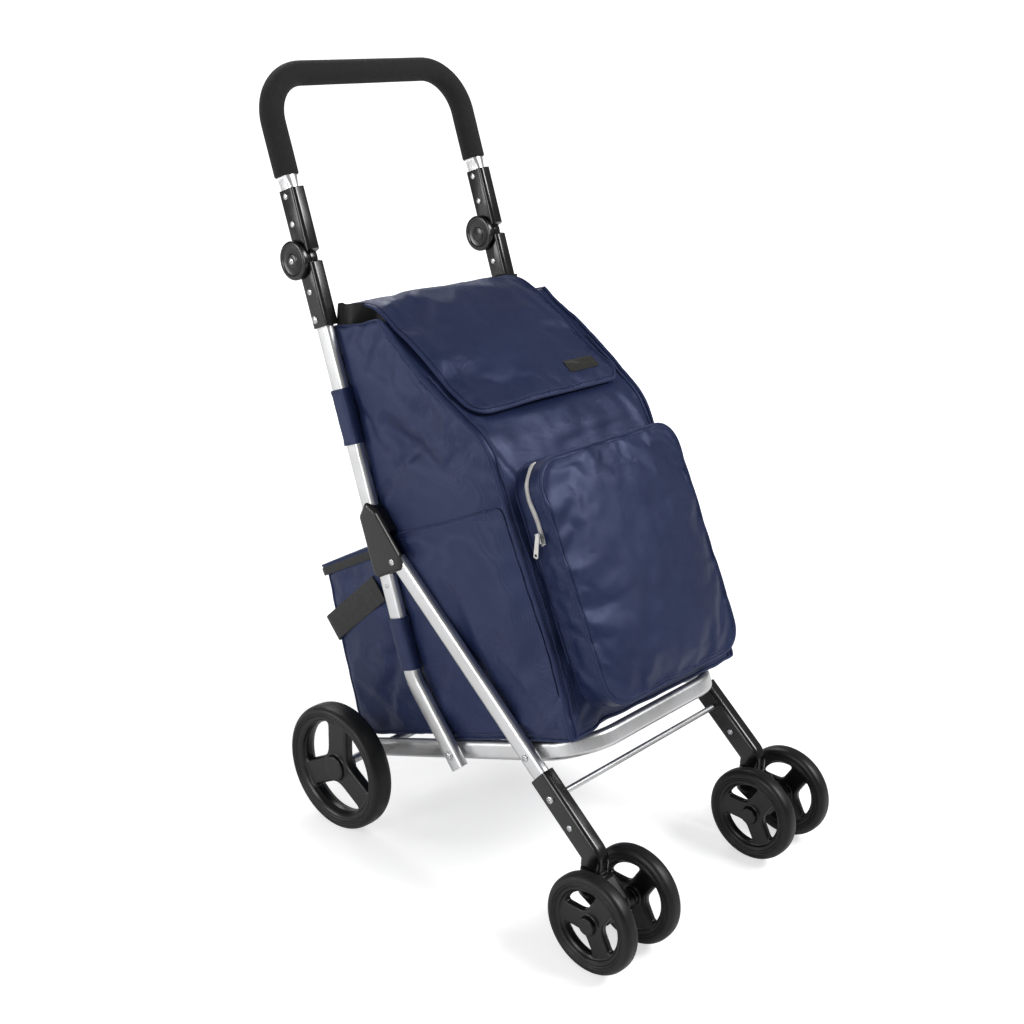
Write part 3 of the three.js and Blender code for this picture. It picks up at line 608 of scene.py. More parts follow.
def plastic(name, shade, roughness, coat=0.0):
    """Injection-moulded plastic: fine spark texture, slow shine variation and paler scuffs in streaks."""
    s = Surface(name, Coat_Weight=coat, Coat_Roughness=0.18, Specular_IOR_Level=0.5)
    grain = s.noise(1500, 3)
    s.bump(s.noise(24, 2), 0.0003, 0.12)
    s.bump(grain, 0.00004, 0.35)
    scuffs = s.ramp(s.noise(70, 6, s.stretched((1, 0.3, 0.3))), 0.56, 0.7, 0, 1)
    colour = s.blend(s.maths("MULTIPLY", scuffs, 0.25), grey(shade), grey(shade * 1.9))
    wear = s.maths("MULTIPLY", scuffs, 0.08)
    return s.done(colour, s.maths("ADD", s.ramp(s.noise(40, 3), 0.3, 0.7, roughness - 0.04, roughness + 0.05), wear))


def rubber():
    s = Surface("tyre_rubber", Specular_IOR_Level=0.4)
    grain = s.noise(900, 4)
    s.bump(grain, 0.00025, 0.45)
    dust = s.ramp(s.noise(35, 5), 0.45, 0.75, 0, 1)
    colour = s.blend(s.maths("MULTIPLY", dust, 0.3), grey(0.0035), grey(0.012))
    return s.done(colour, s.ramp(dust, 0, 1, 0.4, 0.58))


def foam():
    """Closed-cell foam: fine pits over a slightly uneven skin, with painted shade darkening each pit."""
    s = Surface("foam_grip", Sheen_Weight=0.05, Sheen_Roughness=0.6, Specular_IOR_Level=0.25)
    pits = s.cells(1100)
    s.bump(s.noise(60, 3), 0.0012, 0.25)
    s.bump(pits, 0.0005, 0.6)
    # painted shade: the colour is darkest at the bottom of each pit, where the bump is lowest
    colour = s.blend(s.ramp(pits, 0.1, 0.6, 0, 1), grey(0.0055), grey(0.015))
    return s.done(colour, s.ramp(s.noise(300, 3), 0.3, 0.7, 0.78, 0.92))


def webbing():
    s = Surface("black_webbing", Sheen_Weight=0.2, Sheen_Roughness=0.5)
    diagonal = s.stretched((1, 1, 1), (math.radians(38), math.radians(33), 0))
    ribs = s.maths("MULTIPLY", s.bands("Y", 0.0018, diagonal), s.bands("Z", 0.0011, diagonal))
    s.bump(ribs, 0.0006, 0.7)
    # painted shade in the grooves between the ribs and painted highlight on the rib tops: the colour follows the rib
    # height
    colour = s.blend(ribs, grey(0.004), grey(0.013))
    return s.done(colour, s.ramp(s.noise(200, 3), 0.3, 0.7, 0.62, 0.8))


def zip_plastic():
    s = Surface("zip_white", Specular_IOR_Level=0.5)
    s.bump(s.noise(800, 3), 0.0001, 0.4)
    colour = s.blend(s.noise(160, 3), (0.6, 0.58, 0.54, 1), (0.82, 0.8, 0.77, 1))
    return s.done(colour, s.ramp(s.noise(300, 3), 0.3, 0.7, 0.3, 0.45))


def patch():
    s = Surface("label_patch", Specular_IOR_Level=0.5)
    s.bump(s.cells(900), 0.0002, 0.5)
    colour = s.blend(s.noise(120, 3), (0.008, 0.008, 0.007, 1), (0.02, 0.019, 0.017, 1))
    return s.done(colour, s.ramp(s.noise(200, 3), 0.3, 0.7, 0.42, 0.55))


NAVY_DARK = (0.0082, 0.0135, 0.044, 1)
NAVY_LIGHT = (0.0185, 0.03, 0.088, 1)
NAVY_SHEEN = (0.55, 0.62, 1, 1)
ALUMINIUM = aluminium()
STEEL = steel()
BLACK = plastic("black_plastic", 0.0028, 0.22, 0.25)
SATIN_BLACK = plastic("satin_black_plastic", 0.0032, 0.33)
FOAM = foam()
TYRE = rubber()
NAVY = woven("navy_polyester", NAVY_DARK, NAVY_LIGHT, 0.0009, 0.38, 0.08, 0.36, NAVY_SHEEN)
NAVY_TRIM = woven("navy_binding", NAVY_DARK, NAVY_LIGHT, 0.0006, 0.52, 0.25, 0.12, NAVY_SHEEN)
THREAD = woven("navy_thread", (0.03, 0.042, 0.11, 1), (0.07, 0.095, 0.2, 1), 0.0004, 0.5, 0.3, 0.1, NAVY_SHEEN)
LINING = woven("black_fabric", grey(0.004), grey(0.011), 0.0008, 0.62, 0.2, 0.5)
WEBBING = webbing()
ZIP = zip_plastic()
PATCH = patch()

# ---------------------------------------------------------------- fasteners


def rivet(face, sign, yz, radius=4.2, height=1.8, dimple=0.45):
    """A domed head on an X face, with a shallow dimple in its middle."""
    profile = [[radius, -0.5], [radius, 0.25 * height]]
    for k in range(1, 5):
        angle = math.pi / 2 * k / 5
        profile.append([radius * (1 - 0.55 * (1 - math.cos(angle))), height * (0.25 + 0.75 * math.sin(angle))])
    profile += [[radius * dimple, height], [radius * dimple * 0.8, height * 0.55], [0, height * 0.5]]
    profile = [[0, -0.5]] + profile
    points, faces = lathe(profile, 28, (0, 0, 0))
    points = points * np.array([sign, 1, 1]) + at_x(face, yz)
    return points, faces


def cross_screw(face, sign, yz, radius=4.6, height=2.2):
    head = rivet(face, sign, yz, radius, height, 0.3)
    low, high = sorted((face + sign * height * 0.55, face + sign * height * 2))
    arm, half = radius * 0.62, radius * 0.13
    for across, up in ((arm, half), (half, arm)):
        y, z = yz
        box = [[y - across, z - up], [y + across, z - up], [y + across, z + up], [y - across, z + up]]
        head = cut(head, slab_x(box, low, high))
    return head


# ---------------------------------------------------------------- frame tubes and sleeves

TUBE_SECTION = rounded_section(*TUBE_HALF, TUBE_CORNER_R, steps=9)
TUBE_BORE = rounded_section(TUBE_HALF[0] - TUBE_WALL, TUBE_HALF[1] - TUBE_WALL, TUBE_CORNER_R - TUBE_WALL, steps=9)
SLEEVE_SECTION = rounded_section(*SLEEVE_HALF, SLEEVE_CORNER_R, steps=8)
X_AXIS = (1, 0, 0)
Y_AXIS_LINE = np.array([0.0, 1.0, 0.0])


def side_path(x, points):
    return [at_x(x, point) for point in points]


def frame_tube(path, across=X_AXIS, section=TUBE_SECTION, bore=TUBE_BORE):
    return sweep(section, path, across, inner=bore)


def make_frame_tubes():
    tail = BASE_PIVOT + unit(BASE_PIVOT - POST_BEND) * POST_TAIL
    leg_low = LEG_BASE_PIVOT + LEG_DOWN * (LEG_SLEEVE_START + 26)
    for name, sign in SIDES.items():
        x = sign * TUBE_X
        post = filleted(side_path(x, [tail, POST_BEND, on_post(POST_TUBE_TOP_Z)]), POST_BEND_R, 14)
        piece(f"post_tube_shell_{name}", frame_tube(post), ALUMINIUM, "posts",
              [f"post_tube_{name}"])
        leg = side_path(x, [LEG_PIVOT, leg_low])
        piece(f"front_leg_tube_shell_{name}", frame_tube(leg), ALUMINIUM, "legs",
              [f"front_leg_tube_{name}"])


def make_base_ring():
    rear, front = on_base(-BASE_REAR_TAIL), on_base(BASE_FRONT)
    corners = [at_x(-BASE_X, rear), at_x(-BASE_X, front), at_x(BASE_X, front), at_x(BASE_X, rear)]
    normal = at_x(0, quarter(BASE_FORWARD))
    turn = np.array([[0, 1], [1, 0]])
    ring = frame_tube(filleted(corners, BASE_CORNER_R, 20), normal, (TUBE_SECTION @ turn)[::-1],
                      (TUBE_BORE @ turn)[::-1])
    bore = rod_x(REAR_WHEEL["bore"], -BASE_X - 20, BASE_X + 20, AXLE)
    piece("base_ring_tube", cut(ring, bore), ALUMINIUM, "base", ["base_ring"])
    plugs = []
    for sign in SIDES.values():
        start, end = on_base(-BASE_REAR_TAIL - 2.5), on_base(-BASE_REAR_TAIL + 8)
        path = side_path(sign * BASE_X, [start, start + BASE_FORWARD * 2.5, start + BASE_FORWARD * 2.6, end])
        head, stem = rounded_section(7.9, 12.9, 6.8, steps=9), rounded_section(6, 11, 5, steps=9)
        plugs.append(sweep([head, head, stem, stem], path, X_AXIS))
    piece("base_ring_end_plugs", bevelled(merged(*plugs), 0.6), BLACK, "base")


def past_hinge(x, away, wedge_turn):
    reach = 60
    start = HINGE - away * CLEARANCE
    back = start - POST_FRONT * reach
    tip = start + turned(POST_FRONT, wedge_turn) * reach
    outline = [back, start, tip, tip + away * reach, back + away * reach]
    return slab_x(outline, x - 30, x + 30)


def hinge_sleeve(x, eye_side, mouth, past, wedge):
    """A sleeve from its tube mouth to the hinge; its end is a V in front and a half-thick eye."""
    hinge_end = HINGE_LEVEL + past * HINGE_EYE_R
    low, high = sorted((mouth, hinge_end), key=lambda point: point[1])
    body = sweep(SLEEVE_SECTION - np.array([0, SLEEVE_FORWARD]), side_path(x, [low, high]), X_AXIS)
    relief = sorted((x + eye_side * CLEARANCE, x - eye_side * 2 * SLEEVE_HALF[0]))
    body = cut(body, past_hinge(x, past, wedge), rod_x(HINGE_EYE_R + CLEARANCE, *relief, HINGE, 64))
    eye = sorted((x + eye_side * CLEARANCE, x + eye_side * SLEEVE_HALF[0]))
    body = fused(body, rod_x(HINGE_EYE_R, *eye, HINGE, 64))
    play = 0.5
    socket = rounded_section(TUBE_HALF[0] + play, TUBE_HALF[1] + play, TUBE_CORNER_R + play)
    body = cut(body, sweep(socket, side_path(x, [mouth - past * 2, mouth + past * SOCKET_DEEP]), X_AXIS))
    return bevelled(body, 0.9, 3)


def make_hinge_sleeves():
    lower_mouth = on_post(LOWER_SLEEVE_Z)
    upper_mouth = HINGE_LEVEL + POST_UP * UPPER_SLEEVE_LENGTH
    lower_rivets = [(247.7, 709.9)]
    upper_rivets = [(295.4, 822.8), (281.6, 790.2)]
    for name, sign in SIDES.items():
        x = sign * TUBE_X
        lower = hinge_sleeve(x, sign, lower_mouth, POST_UP, NOTCH)
        piece(f"lower_hinge_sleeve_{name}", lower, BLACK, "posts", [f"hinge_sleeve_lower_{name}"])
        upper = hinge_sleeve(x, -sign, upper_mouth, -POST_UP, -NOTCH)
        piece(f"upper_hinge_sleeve_{name}", upper, BLACK, "handle", [f"hinge_sleeve_upper_{name}"])
        for body, places in (("posts", lower_rivets), ("handle", upper_rivets)):
            heads = [rivet(x + side * SLEEVE_HALF[0], side, at) for at in places for side in (-1, 1)]
            if body == "posts":
                heads += [cross_screw(x + side * SLEEVE_HALF[0], side, (237, 675.9), 5.4, 2.4) for side in (-1, 1)]
            piece(f"{body}_sleeve_rivets_{name}", merged(*heads), STEEL, body)


def make_leg_sleeves():
    start = LEG_BASE_PIVOT + LEG_DOWN * LEG_SLEEVE_START
    foot = np.array([SWIVEL[0], SWIVEL[1] + CLEARANCE])
    play = 0.5
    socket = rounded_section(TUBE_HALF[0] + play, TUBE_HALF[1] + play, TUBE_CORNER_R + play)
    for name, sign in SIDES.items():
        x = sign * TUBE_X
        path = filleted(side_path(x, [foot, LEG_ELBOW, start]), LEG_ELBOW_R, 10)
        body = sweep(SLEEVE_SECTION, path, X_AXIS)
        mouth = side_path(x, [start + LEG_DOWN * SOCKET_DEEP, start - LEG_DOWN * 2])
        body = bevelled(cut(body, sweep(socket, mouth, X_AXIS)), 1.1, 3)
        piece(f"leg_sleeve_{name}", body, BLACK, "legs", [f"front_leg_sleeve_{name}"])
        heads = [rivet(x + side * SLEEVE_HALF[0], side, (-238, 147.2)) for side in (-1, 1)]
        heads.append(rivet(x + sign * SLEEVE_HALF[0], sign, ROD_AT, 5.4, 3))
        piece(f"leg_sleeve_rivets_{name}", merged(*heads), STEEL, "legs")


# ---------------------------------------------------------------- handle


def arch_path(start, steps):
    top = on_post(HANDLE_TOP_Z)
    corners = [at_x(-TUBE_X, start), at_x(-TUBE_X, top), at_x(TUBE_X, top), at_x(TUBE_X, start)]
    return filleted(corners, HANDLE_CORNER_R, steps)


def make_handle():
    normal = at_x(0, POST_FRONT)
    start = HINGE_LEVEL + POST_UP * (UPPER_SLEEVE_LENGTH - SOCKET_DEEP + 3)
    path = resampled(arch_path(start, 24), 6)
    flat = rounded_section(TUBE_HALF[1], TUBE_HALF[0], TUBE_CORNER_R, steps=9)
    angles = np.arctan2(flat[:, 1], flat[:, 0])
    round_ring = HANDLE_TUBE_R * np.stack([np.cos(angles), np.sin(angles)], 1)
    lengths = np.concatenate([[0], np.cumsum(np.linalg.norm(np.diff(path, axis=0), axis=1))])
    sections = []
    for length in lengths:
        near_end = min(length, lengths[-1] - length)
        share = np.clip((near_end - SOCKET_DEEP) / 9, 0, 1)
        sections.append(flat * (1 - share) + round_ring * share)
    piece("handle_arch", sweep(sections, path, normal), ALUMINIUM, "handle", ["handle_tube"])

    grip_path = resampled(arch_path(on_post(GRIP_START_Z), 24), 5)
    lengths = np.concatenate([[0], np.cumsum(np.linalg.norm(np.diff(grip_path, axis=0), axis=1))])
    lip = 2.2
    ends = [0, 0.3, 0.8, 1.5, lip]
    trimmed = [grip_path[0] + unit(grip_path[1] - grip_path[0]) * e for e in ends[1:]]
    tail = [grip_path[-1] + unit(grip_path[-2] - grip_path[-1]) * e for e in ends[1:]][::-1]
    grip_path = np.array([grip_path[0], *trimmed, *grip_path[1:-1], *tail, grip_path[-1]])
    lengths = np.concatenate([[0], np.cumsum(np.linalg.norm(np.diff(grip_path, axis=0), axis=1))])
    rings = []
    for k, length in enumerate(lengths):
        near_end = min(length, lengths[-1] - length, lip)
        rounding = lip - math.sqrt(max(lip * lip - (lip - near_end) ** 2, 0))
        uneven = 0.12 * noise.noise(Vector(grip_path[k] * 0.03))
        rings.append(disc_section(GRIP_R - rounding + uneven, 40))
    grip = sweep(rings, grip_path, normal, inner=disc_section(HANDLE_TUBE_R + CLEARANCE, 40))
    foam_grip = piece("handle_grip", grip, FOAM, "handle", ["handle_grip_foam"], angle=60)


def make_knobs():
    """Disc knobs on the -X face of each post, dished, with a rounded rim."""
    for name, sign in SIDES.items():
        face = sign * TUBE_X - SLEEVE_HALF[0] - CLEARANCE
        r, t = KNOB_R, KNOB_THICK
        profile = [[0, 0], [r - 3, 0], [r - 0.8, 0.5], [r, 1.8], [r, t - 2.4], [r - 0.5, t - 1.1], [r - 1.7, t - 0.3],
                   [r - 3.2, t], [r - 5.4, t - 0.1], [r - 6.6, t - 0.9], [r - 8, t - 1.3], [9.6, t - 1.1],
                   [8.8, t - 0.4], [7.6, t], [0, t]]
        disc = lathe([[radius, -depth] for radius, depth in profile], 96, at_x(face, HINGE))
        replaced = [f"hinge_knob_{name}"]
        piece(f"knob_{name}", disc, BLACK, f"knob_{name}", replaced, angle=28)
    face = -TUBE_X - SLEEVE_HALF[0] - CLEARANCE - KNOB_THICK
    screw = cross_screw(face, -1, HINGE, 4.5, 2.2)
    piece("knob_screw_left", screw, STEEL, "knob_left", ["hinge_knob_screw_left"])


# ---------------------------------------------------------------- brackets, bolts and rod


def make_brackets():
    middle = on_post(BRACKET_MIDDLE_Z)
    outline = rounded_outline(BRACKET_OUTLINE, 9, 10)
    outline = [middle + POST_UP * up + POST_FRONT * front for up, front in outline]
    play = 0.5
    channel = rounded_section(TUBE_HALF[0] + play, TUBE_HALF[1] + play, TUBE_CORNER_R + play)
    at = lambda up, front: middle + POST_UP * up + POST_FRONT * front
    slot = [at(12, 14.2), at(12, 90), at(-90, 90), at(-90, 14.2)]
    for name, sign in SIDES.items():
        x = sign * TUBE_X
        block = plate([outline], BRACKET_HALF, 7, x, steps=8)
        body = cut(block, sweep(channel, side_path(x, [at(-90, 0), at(90, 0)]), X_AXIS),
                   slab_x(slot, x - TUBE_HALF[0] - CLEARANCE, x + TUBE_HALF[0] + CLEARANCE))
        piece(f"bracket_{name}", body, BLACK, "brackets", [f"slide_bracket_{name}"], angle=30)
        heads = [cross_screw(x + side * BRACKET_HALF, side, LEG_PIVOT, 4.6, 2.2) for side in (-1, 1)]
        piece(f"bracket_screw_{name}", merged(*heads), STEEL, "brackets", [f"bracket_bolt_{name}"])


def make_bolts():
    face = TUBE_HALF[0]
    for name, sign in SIDES.items():
        x = sign * TUBE_X
        outer = rivet(x + sign * face, sign, BASE_PIVOT, 5.2, 2.8)
        washer = rod_x(7.2, *sorted((x + sign * face, x + sign * (face + 0.9))), BASE_PIVOT, 32, 0.2)
        piece(f"base_pivot_screw_{name}", merged(outer, washer), STEEL, "base",
              [f"base_pivot_bolt_{name}"])
        outer = rivet(x + sign * face, sign, LEG_BASE_PIVOT, 4.8, 2.4)
        piece(f"leg_pivot_screw_{name}", outer, STEEL, "legs", [f"leg_pivot_bolt_{name}"])
        small = rivet(x + sign * face, sign, (94.8, 351.5), 2.8, 1.2)
        piece(f"post_stop_screw_{name}", small, STEEL, "posts")
    half = TUBE_X - SLEEVE_HALF[0]
    piece("rod_between_legs", rod_x(ROD_R, -half, half, ROD_AT, 32, 0.4), ALUMINIUM, "legs",
          ["cross_rod"])


# ---------------------------------------------------------------- wheels


def tyre_profile(wheel):
    """Rounded tread with a shoulder groove and two fine rings on each wall."""
    half, rim, radius = wheel["width"] / 2, wheel["rim"], wheel["radius"]
    crown = radius - rim
    profile = [[rim - 1.5, half - 5], [rim - 1.5, half - 3.4]]
    for share, groove in ((0.0, 0), (0.1, 0), (0.14, 0.7), (0.18, 0), (0.3, 0), (0.34, 0.6), (0.38, 0)):
        profile.append([rim + crown * share, half - 2.2 - groove + 2.2 * math.sin(share * math.pi / 1.2)])
    steps = 14
    for k in range(steps + 1):
        angle = math.pi / 2 * k / steps
        r = rim + crown * 0.45 + crown * 0.55 * math.sin(angle)
        profile.append([r, half * math.cos(angle) ** 0.62 if k < steps else 0])
    mirror = [[r, -x] for r, x in profile[-2::-1]]
    return profile + mirror


def arm_gap(wheel, middle_angle, radius, web):
    """One rounded opening between two arms, as [y, z] about the hub: web is half an arm's width."""
    third = math.pi / 3
    turn = third - math.asin(web / radius)

    def polar(r, angle):
        return [r * math.cos(middle_angle + angle), r * math.sin(middle_angle + angle)]

    inner = filleted([polar(radius, turn), polar(web / math.sin(third), 0), polar(radius, -turn)], radius * 0.34, 10)
    outer = [polar(radius, -turn + 2 * turn * k / 10) for k in range(1, 10)]
    return smoothed_loop(np.concatenate([inner, outer]), wheel["rim"] * 0.09)


def smoothed_loop(points, radius):
    """A closed outline resampled finely and rounded off by averaging."""
    loop = resampled(np.concatenate([points, points[:1]]), 1.0)[:-1]
    for _ in range(int(radius * 4)):
        loop = (np.roll(loop, 1, 0) + loop * 2 + np.roll(loop, -1, 0)) / 4
    return loop


def wheel_centre(wheel, voxel, outward):
    """Deep rim, three broad arms that sink towards a closed hub, and a boss on the axle."""
    rim, half = wheel["rim"], wheel["width"] / 2 - 2.5
    wall, lip = rim * 0.09, 2.0
    section = [[rim + 0.6, -half + 1], [rim, -half], [rim - lip, -half], [rim - wall, -half + lip * 2],
               [rim - wall - 1, 0], [rim - wall, half - lip * 2], [rim - lip, half], [rim, half], [rim + 0.6, half - 1]]
    ring = lathe(section, 120, (0, 0, 0), closed=True)
    angles = [math.radians(wheel["first_arm"] + 60 + 120 * k) for k in range(3)]
    disc = disc_section(rim - 1, 120)
    gaps = [arm_gap(wheel, a, rim - wall - 2.5, rim * wheel["arm"]) for a in angles]
    thick = wheel["width"] * 0.24
    web = plate([disc, *gaps], thick, thick * 0.6, 0, steps=4)
    boss = rod_x(rim * 0.24, -wheel["boss"], wheel["boss"], (0, 0), 64, 1)
    cap = lathe([[0, 0], [rim * 0.3, 0], [rim * 0.28, thick * 0.95], [rim * 0.16, thick * 1.2], [0, thick * 1.25]],
                64, (0, 0, 0))
    cap = cap[0] * np.array([outward, 1, 1]), cap[1]
    solid = moulded(merged(ring, web, boss, cap), voxel, 6)
    reach = wheel["boss"] + 3
    closed_end = thick * 0.9
    low, high = sorted((-outward * reach, outward * closed_end))
    return cut(solid, rod_x(wheel["bore"], low, high, (0, 0), 40))


def make_wheel(label, x, yz, wheel, centre, body, tyre_node, centre_node):
    shift = at_x(x, yz)
    tyre = moved(lathe(tyre_profile(wheel), 128, (0, 0, 0), closed=True), shift)
    piece(f"{label}_tyre", tyre, TYRE, body, [tyre_node], angle=50)
    piece(f"{label}_centre", moved(centre, shift), SATIN_BLACK, body, [centre_node], angle=60)


def make_rear_wheels():
    centres = {sign: wheel_centre(REAR_WHEEL, 1.3, sign) for sign in SIDES.values()}
    for name, sign in SIDES.items():
        make_wheel(f"rear_{name}", sign * WHEEL_X, AXLE, REAR_WHEEL, centres[sign], f"rear_wheel_{name}",
                   f"rear_tyre_{name}", f"rear_wheel_centre_{name}")
    reach = WHEEL_X - 1
    piece("rear_axle_rod", rod_x(REAR_WHEEL["bore"] - CLEARANCE, -reach, reach, AXLE, 32, 0.5), STEEL, "base",
          ["rear_axle"])


def fork_solid(x):
    """Swivel housing and one trailing arm down to the axle boss, moulded as one."""
    top = SWIVEL[1]
    middle = (x, SWIVEL[0], 0)
    housing = lathe([[0, top], [15.5, top], [16.5, top - 1], [18, top - 30], [17, top - 34], [0, top - 34]], 64, middle, "Z")
    collar = lathe([[0, top - 1], [12, top - 1], [12, top], [0, top]], 48, middle, "Z")
    ay, az = CASTER_AXLE
    y = SWIVEL[0]
    corners = [[y + 15, top - 5], [y - 22, top - 6], [y - 46, top - 26], [ay - 16, az], [ay - 9, az - 13],
               [ay + 9, az - 13], [y + 12, top - 37]]
    arm = plate([rounded_outline(corners, 6, 6)], 15, 4.5, x)
    boss = rod_x(13, x - 25, x + 25, CASTER_AXLE, 64, 1)
    solid = moulded(merged(housing, collar, arm, boss), 0.9, 4)
    return cut(solid, rod_x(CASTER_WHEEL["bore"], x - 30, x + 30, CASTER_AXLE, 32))


def make_casters():
    centres = {turn: wheel_centre(CASTER_WHEEL, 1.0, turn) for turn in (-1, 1)}
    for name, sign in SIDES.items():
        x = sign * TUBE_X
        piece(f"fork_{name}", fork_solid(x), SATIN_BLACK, f"caster_{name}",
              [f"caster_fork_{name}"], angle=60)
        reach = CASTER_OFFSET + 1
        pin = rod_x(CASTER_WHEEL["bore"] - CLEARANCE, x - reach, x + reach, CASTER_AXLE, 28, 0.4)
        piece(f"caster_axle_{name}", pin, STEEL, f"caster_{name}", [f"caster_pin_{name}"])
        for which, outward in (("outer", sign), ("inner", -sign)):
            label = f"{name}_{which}"
            make_wheel(f"caster_{label}", x + outward * CASTER_OFFSET, CASTER_AXLE, CASTER_WHEEL, centres[outward],
                       f"caster_wheel_{label}", f"caster_tyre_{label}", f"caster_centre_{label}")


# ---------------------------------------------------------------- cloth tools


def settled(solid, pinned, slack, pressure, frames=20, cap=12.0):
    """Cloth let go between its pinned points: slack is its spare length, cap the furthest move in mm."""
    points, faces = solid
    mesh = bpy.data.meshes.new("cloth")
    mesh.from_pydata((points * MM).tolist(), [], faces)
    thing = bpy.data.objects.new("cloth", mesh)
    bpy.context.scene.collection.objects.link(thing)
    thing.vertex_groups.new(name="pin").add([int(i) for i in pinned], 1.0, "REPLACE")
    modifier = thing.modifiers.new("cloth", "CLOTH")
    cloth = modifier.settings
    cloth.quality = 5
    cloth.mass = 0.15
    cloth.tension_stiffness = cloth.compression_stiffness = 18
    cloth.shear_stiffness = 8
    cloth.bending_stiffness = 0.4
    cloth.vertex_group_mass = "pin"
    cloth.shrink_min = -slack
    cloth.use_pressure = True
    cloth.uniform_pressure_force = pressure
    cloth.effector_weights.gravity = 0
    modifier.collision_settings.use_collision = False
    modifier.point_cache.frame_start = 1
    modifier.point_cache.frame_end = frames
    scene = bpy.context.scene
    for number in range(1, frames + 1):
        scene.frame_set(number)
    shaped = thing.evaluated_get(bpy.context.evaluated_depsgraph_get()).data
    after = np.zeros(len(shaped.vertices) * 3)
    shaped.vertices.foreach_get("co", after)
    move = after.reshape(-1, 3) / MM - points
    length = np.linalg.norm(move, axis=1)[:, None] + 1e-9
    scene.frame_set(1)
    discard(thing)
    return points + move / length * cap * np.tanh(length / cap), faces


def filled(outline, spacing):
    """Triangles inside a closed outline, with an even spread of points: (2-D points, faces)."""
    outline = np.array(outline, float)
    low, high = outline.min(0), outline.max(0)
    following = np.roll(outline, -1, 0)
    edge = following - outline
    inner = []
    row_height = spacing * math.sqrt(3) / 2
    for row in range(int((high[1] - low[1]) / row_height) + 2):
        v = low[1] + row * row_height
        for column in range(int((high[0] - low[0]) / spacing) + 2):
            u = low[0] + (column + 0.5 * (row % 2)) * spacing
            crosses = (outline[:, 1] > v) != (following[:, 1] > v)
            ahead = u < outline[:, 0] + (v - outline[:, 1]) * edge[:, 0] / np.where(crosses, edge[:, 1], 1)
            if (crosses & ahead).sum() % 2 == 0:
                continue
            share = np.clip(((np.array([u, v]) - outline) * edge).sum(1) / (edge ** 2).sum(1), 0, 1)
            gap = np.linalg.norm(outline + edge * share[:, None] - [u, v], axis=1).min()
            if gap > spacing * 0.6:
                inner.append((u, v))
    points = [Vector(p) for p in outline] + [Vector(p) for p in inner]
    rim = [(i, (i + 1) % len(outline)) for i in range(len(outline))]
    made, _, faces, _, _, _ = delaunay_2d_cdt(points, rim, [list(range(len(outline)))], 1, 1e-4)
    return np.array([tuple(p) for p in made]), [list(f) for f in faces]


def welded(solid, distance=0.02):
    """Points that meet become one, and the faces all look outwards."""
    thing = scratch(solid)
    cleaned(thing.data, distance)
    result = as_solid(thing.data)
    discard(thing)
    return result


def creased(points, creases):
    """Listed folds: (start, end, width, height, direction) ridges raised along their direction."""
    points = points.copy()
    for start, end, width, height, direction in creases:
        start, run = np.array(start, float), np.array(end, float) - np.array(start, float)
        share = np.clip((points - start) @ run / (run @ run), 0, 1)
        gap = np.linalg.norm(points - start - share[:, None] * run, axis=1)
        lift = height * np.exp(-(gap / width) ** 2) * np.sin(np.pi * np.clip(share, 0.04, 0.96)) ** 0.6
        points += lift[:, None] * unit(direction)
    return points


def rumpled(points, size, height, seed):
    """A small smooth unevenness, so that cloth doesn't start out perfectly flat."""
    shift = Vector((seed * 7.3, seed * 3.1, seed * 5.7))
    moves = [tuple(noise.noise_vector(Vector(p) / size + shift)) for p in points]
    return points + height * np.array(moves)


def surface_of(solid):
    return BVHTree.FromPolygons([Vector(p) for p in solid[0]], solid[1])


def laid_on(tree, line, lift, step=3.0, rounds=2):
    """A line laid on a surface and lifted off it: (points, normals)."""
    points, normals = [], []
    for p in resampled(line, step):
        place, normal, _, _ = tree.find_nearest(Vector(p))
        points.append(np.array(place) + np.array(normal) * lift)
        normals.append(np.array(normal))
    points, normals = np.array(points), np.array(normals)
    for _ in range(rounds):
        points[1:-1] = (points[:-2] + points[1:-1] * 2 + points[2:]) / 4
        normals[1:-1] = (normals[:-2] + normals[1:-1] * 2 + normals[2:]) / 4
    return points, normals


def piping(tree, line, radius, lift=0.4, step=3.0):
    points, normals = laid_on(tree, line, lift, step)
    return sweep(disc_section(radius, 10), points, normals[0])


def stitching(tree, line, pitch=4.2, length=2.9, thick=0.62):
    """A row of raised stitches, each a small spindle of thread."""
    points, normals = laid_on(tree, line, 0.15, pitch, 1)
    spots, faces = [], []
    for k in range(len(points) - 1):
        along = unit(points[k + 1] - points[k])
        up = unit(normals[k] - along * (normals[k] @ along))
        across = np.cross(along, up)
        base = len(spots)
        middle = (points[k] + points[k + 1]) / 2
        spots += [middle - along * length / 2, middle + along * length / 2]
        spots += [middle + across * thick, middle + up * thick, middle - across * thick, middle - up * thick]
        for i in range(4):
            j = (i + 1) % 4
            faces += [[base, base + 2 + j, base + 2 + i], [base + 1, base + 2 + i, base + 2 + j]]
    return np.array(spots), faces


def lined(thing, thickness, lining):
    """Gives a cloth piece its thickness inwards, with another material inside."""
    thing.data.materials.append(lining)
    modifier = thing.modifiers.new("thickness", "SOLIDIFY")
    modifier.thickness = thickness * MM
    modifier.offset = -1
    modifier.material_offset = 1
    bpy.context.view_layer.update()
    mesh = bpy.data.meshes.new_from_object(thing.evaluated_get(bpy.context.evaluated_depsgraph_get()))
    thing.modifiers.clear()
    thing.data = mesh
    return thing


def finer(solid, levels=1):
    return modified(solid, ("SUBSURF", {"levels": levels, "subdivision_type": "CATMULL_CLARK"}))


SOFT_ON_POSTS = []


def crumples(thing):
    """Gives the piece a mesh of its own."""
    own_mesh(thing)
    return thing


# ---------------------------------------------------------------- main bag

